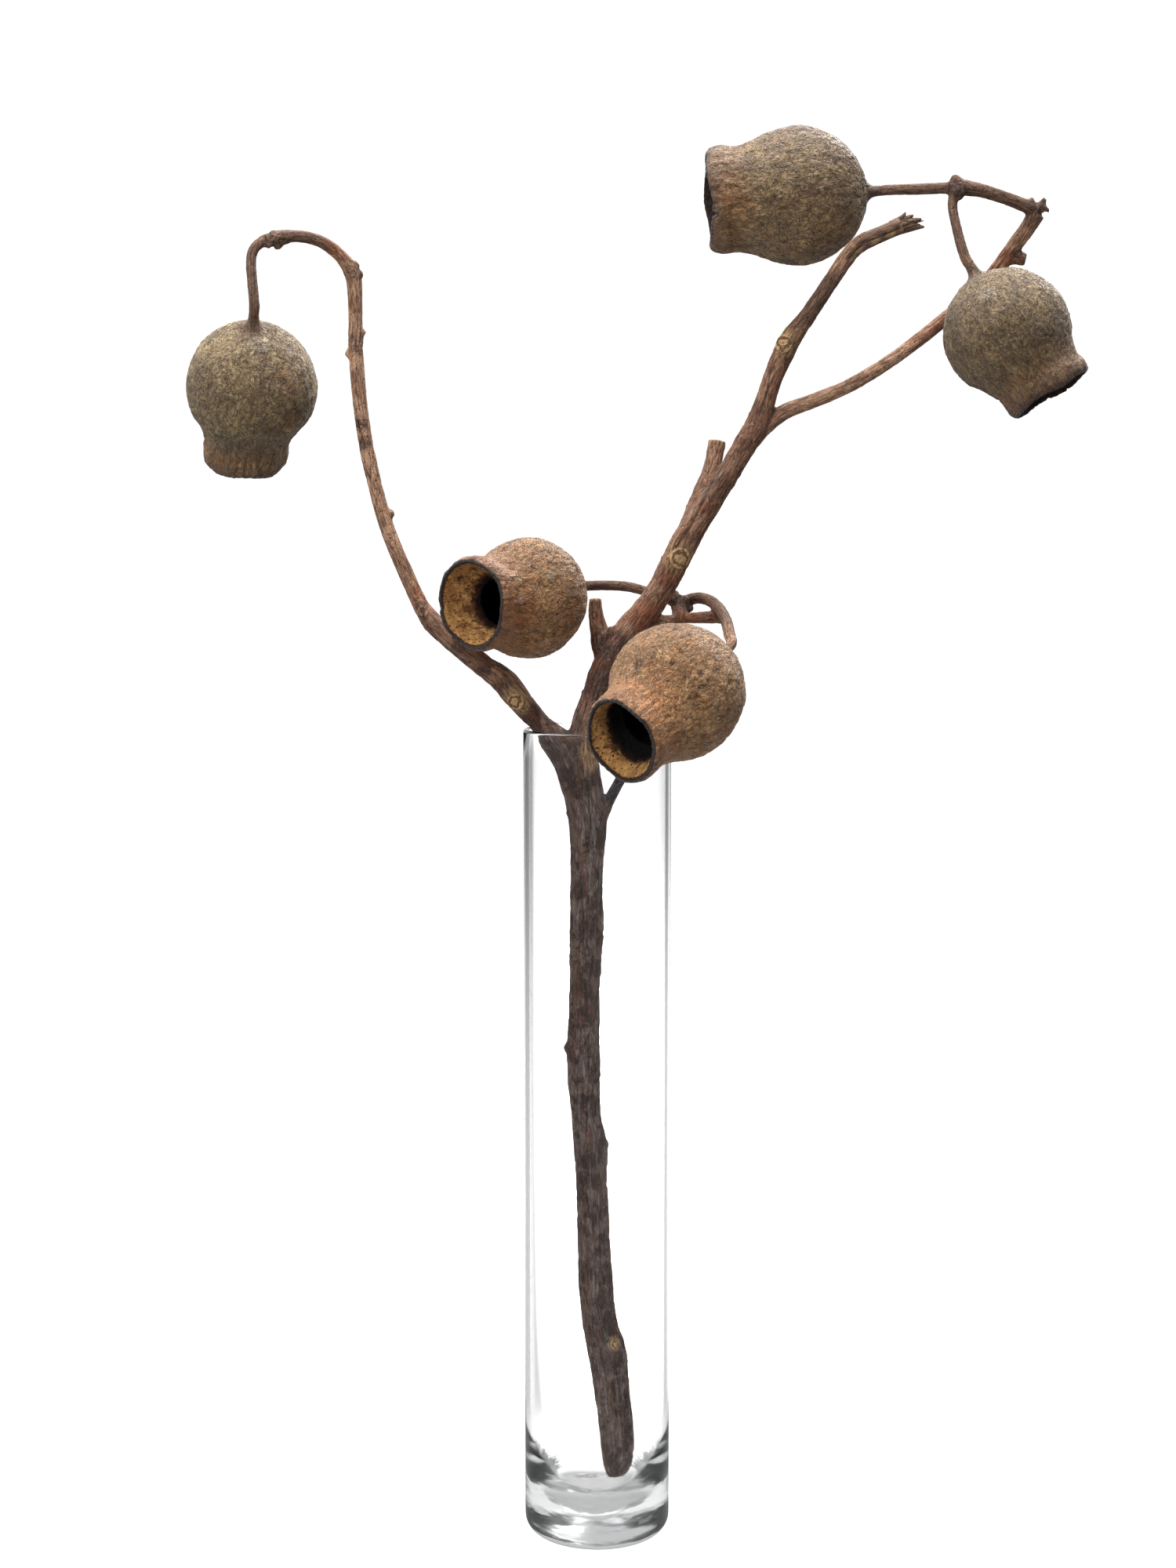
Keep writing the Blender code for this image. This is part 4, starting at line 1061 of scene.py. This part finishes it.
# Outside: olive and grey in patches, or a warmer tan on the two pods in front, and browner towards the neck.
olive = mottle.rise(0.40, 0.60).tint((0.395, 0.272, 0.128), (0.255, 0.172, 0.082))
olive = (clouds.rise(0.50, 0.66) * 0.8).tint(olive, (0.250, 0.145, 0.075))
warm_tan = mottle.rise(0.38, 0.62).tint((0.475, 0.245, 0.098), (0.380, 0.178, 0.064))
warm_tan = clouds.rise(0.50, 0.66).tint(warm_tan, (0.440, 0.195, 0.066))
orange_neck = neck_lines.rise(0.40, 0.60).tint((0.420, 0.170, 0.052), (0.300, 0.110, 0.036))
neck_brown = neck_lines.rise(0.36, 0.64).tint((0.330, 0.172, 0.062), (0.165, 0.090, 0.044))
neck_brown = (warmth * 0.75).tint(neck_brown, orange_neck)
pale_crests = warmth.tint((0.57, 0.45, 0.30), (0.64, 0.42, 0.23))
brown_edge = from_rim.rise(5.5, 1.0) * (0.35 + 0.65 * neck_lines.rise(0.62, 0.40))
colour = painted(warmth.tint(olive, warm_tan), [
    (neck * (0.62 + 0.33 * clouds.rise(0.35, 0.60)), neck_brown),
    (brown_edge * (0.80 - 0.40 * warmth), (0.120, 0.052, 0.034)),
    (rust * clouds.rise(0.25, 0.60) * (0.35 + 0.35 * warmth), (0.40, 0.150, 0.045)),
    # Painted highlight and shade: the pale and dark coats from patches, fine and the grooves follow the wrinkle
    # relief, paler on crests, darker in hollows.
    (patches.rise(0.52, 0.64) * 0.20 * crinkled, pale_crests),
    (patches.rise(0.47, 0.37) * 0.24 * crinkled, (0.105, 0.064, 0.036)),
    (fine.rise(0.53, 0.66) * 0.38 * crinkled, pale_crests),
    (fine.rise(0.47, 0.35) * 0.42 * crinkled, (0.085, 0.050, 0.029)),
    (long_lines.rise(0.44, 0.30) * 0.35, (0.11, 0.066, 0.038)),
    (groove * 0.50, (0.070, 0.038, 0.022)),
    (fine_groove * 0.36, (0.080, 0.044, 0.026)),
# The outside colour is scaled by the painted light by height.
]).scaled(painted_light_by_height)
flecks = drawn_out.cells(0.34).rise(0.11, 0.05) * skin.noise(0.2).rise(0.45, 0.6)
pitted = pits * (fine * 0.6 + patches * 0.4).rise(0.46, 0.54)
colour = painted(colour, [
    (flecks.most(pitted) * 0.75, (0.066, 0.036, 0.038)),
    (warts * fine.rise(0.42, 0.58) * 0.65, (0.54, 0.45, 0.37)),
    ((from_stalk + 7.0 * neck_lines).rise(13.0, 4.0), (0.175, 0.096, 0.056)),
])

# Mouth: a black edge, the ochre funnel with its dark specks, and the nearly black chamber behind the ring.
depth = 0.0 - from_rim
ragged = skin.noise(0.55, 4.0, 0.7)
specks = skin.vector("ADD", (13.0, 5.0, 3.0)).cells(0.95)
# Partly painted shade: deeper in, the funnel darkens to dark brown and the chamber to nearly black, over the
# wood's own dark.
darkening_depth = depth + ragged * 4.0 - darkening_from
edge = depth + ragged * 0.9 - 0.45
charred = edge.rise(-0.9, -0.30) * (edge / char_width).rise(1.5, 0.8) * 0.96
char_black = (0.020, 0.014, 0.016)
colour = charred.tint(colour, char_black)
ochre = skin.noise(0.35, 3.0, 0.6).rise(0.35, 0.65).tint((0.72, 0.400, 0.140), (0.50, 0.240, 0.085))
ochre = painted(ochre, [
    (specks.rise(0.34, 0.20) * ragged.rise(0.36, 0.50) * 0.9, (0.075, 0.030, 0.015)),
    ((skin.noise(0.42, 4.0, 0.7) + depth * 0.022).rise(0.60, 0.74) * 0.85, (0.130, 0.050, 0.022)),
    (darkening_depth.rise(0.5, 3.0), (0.026, 0.010, 0.006)),
    (darkening_depth.rise(2.6, 4.2), (0.003, 0.002, 0.002)),
    (charred, char_black),
])
relief = (fine * 0.9 - groove * 0.45 - fine_groove * 0.30 + patches * 1.5) * crinkled
relief = relief + neck * neck_lines * 0.5
raised = on_skin.node("ShaderNodeBump", {}, {"Strength": 1.0, "Distance": 0.00095, "Height": relief})
dried = on_skin.node(
    "ShaderNodeBsdfPrincipled",
    {},
    {
        "Base Color": colour,
        "Roughness": 0.31 + 0.22 * clouds,
        "Specular IOR Level": 0.44,
        "Sheen Weight": 0.12,
        "Sheen Roughness": 0.35,
        "Normal": raised,
    },
)
inner_wood = on_skin.node(
    "ShaderNodeBsdfPrincipled",
    {},
    {"Base Color": ochre, "Roughness": 0.85, "Specular IOR Level": 0.2, "Normal": raised},
)
whole_pod = on_skin.node("ShaderNodeMixShader", {}, {0: depth.rise(0.2, 0.6), 1: dried, 2: inner_wood})
on_skin.node("ShaderNodeOutputMaterial", {}, {"Surface": whole_pod})

skin_tree = wrinkled_tree()
for number, (pod_name, pod) in enumerate(PODS.items(), 1):
    cup_name = pod_name.replace("pod_", "") + "_seed_cup"
    shell = pod_shell(pod_name, pod, number)
    seed_cup = grow(cup_name, shell, skin_tree, {**SKIN_RELIEF, "Finish": pod_skin})
    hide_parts(pod_name)
    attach(seed_cup, "root")
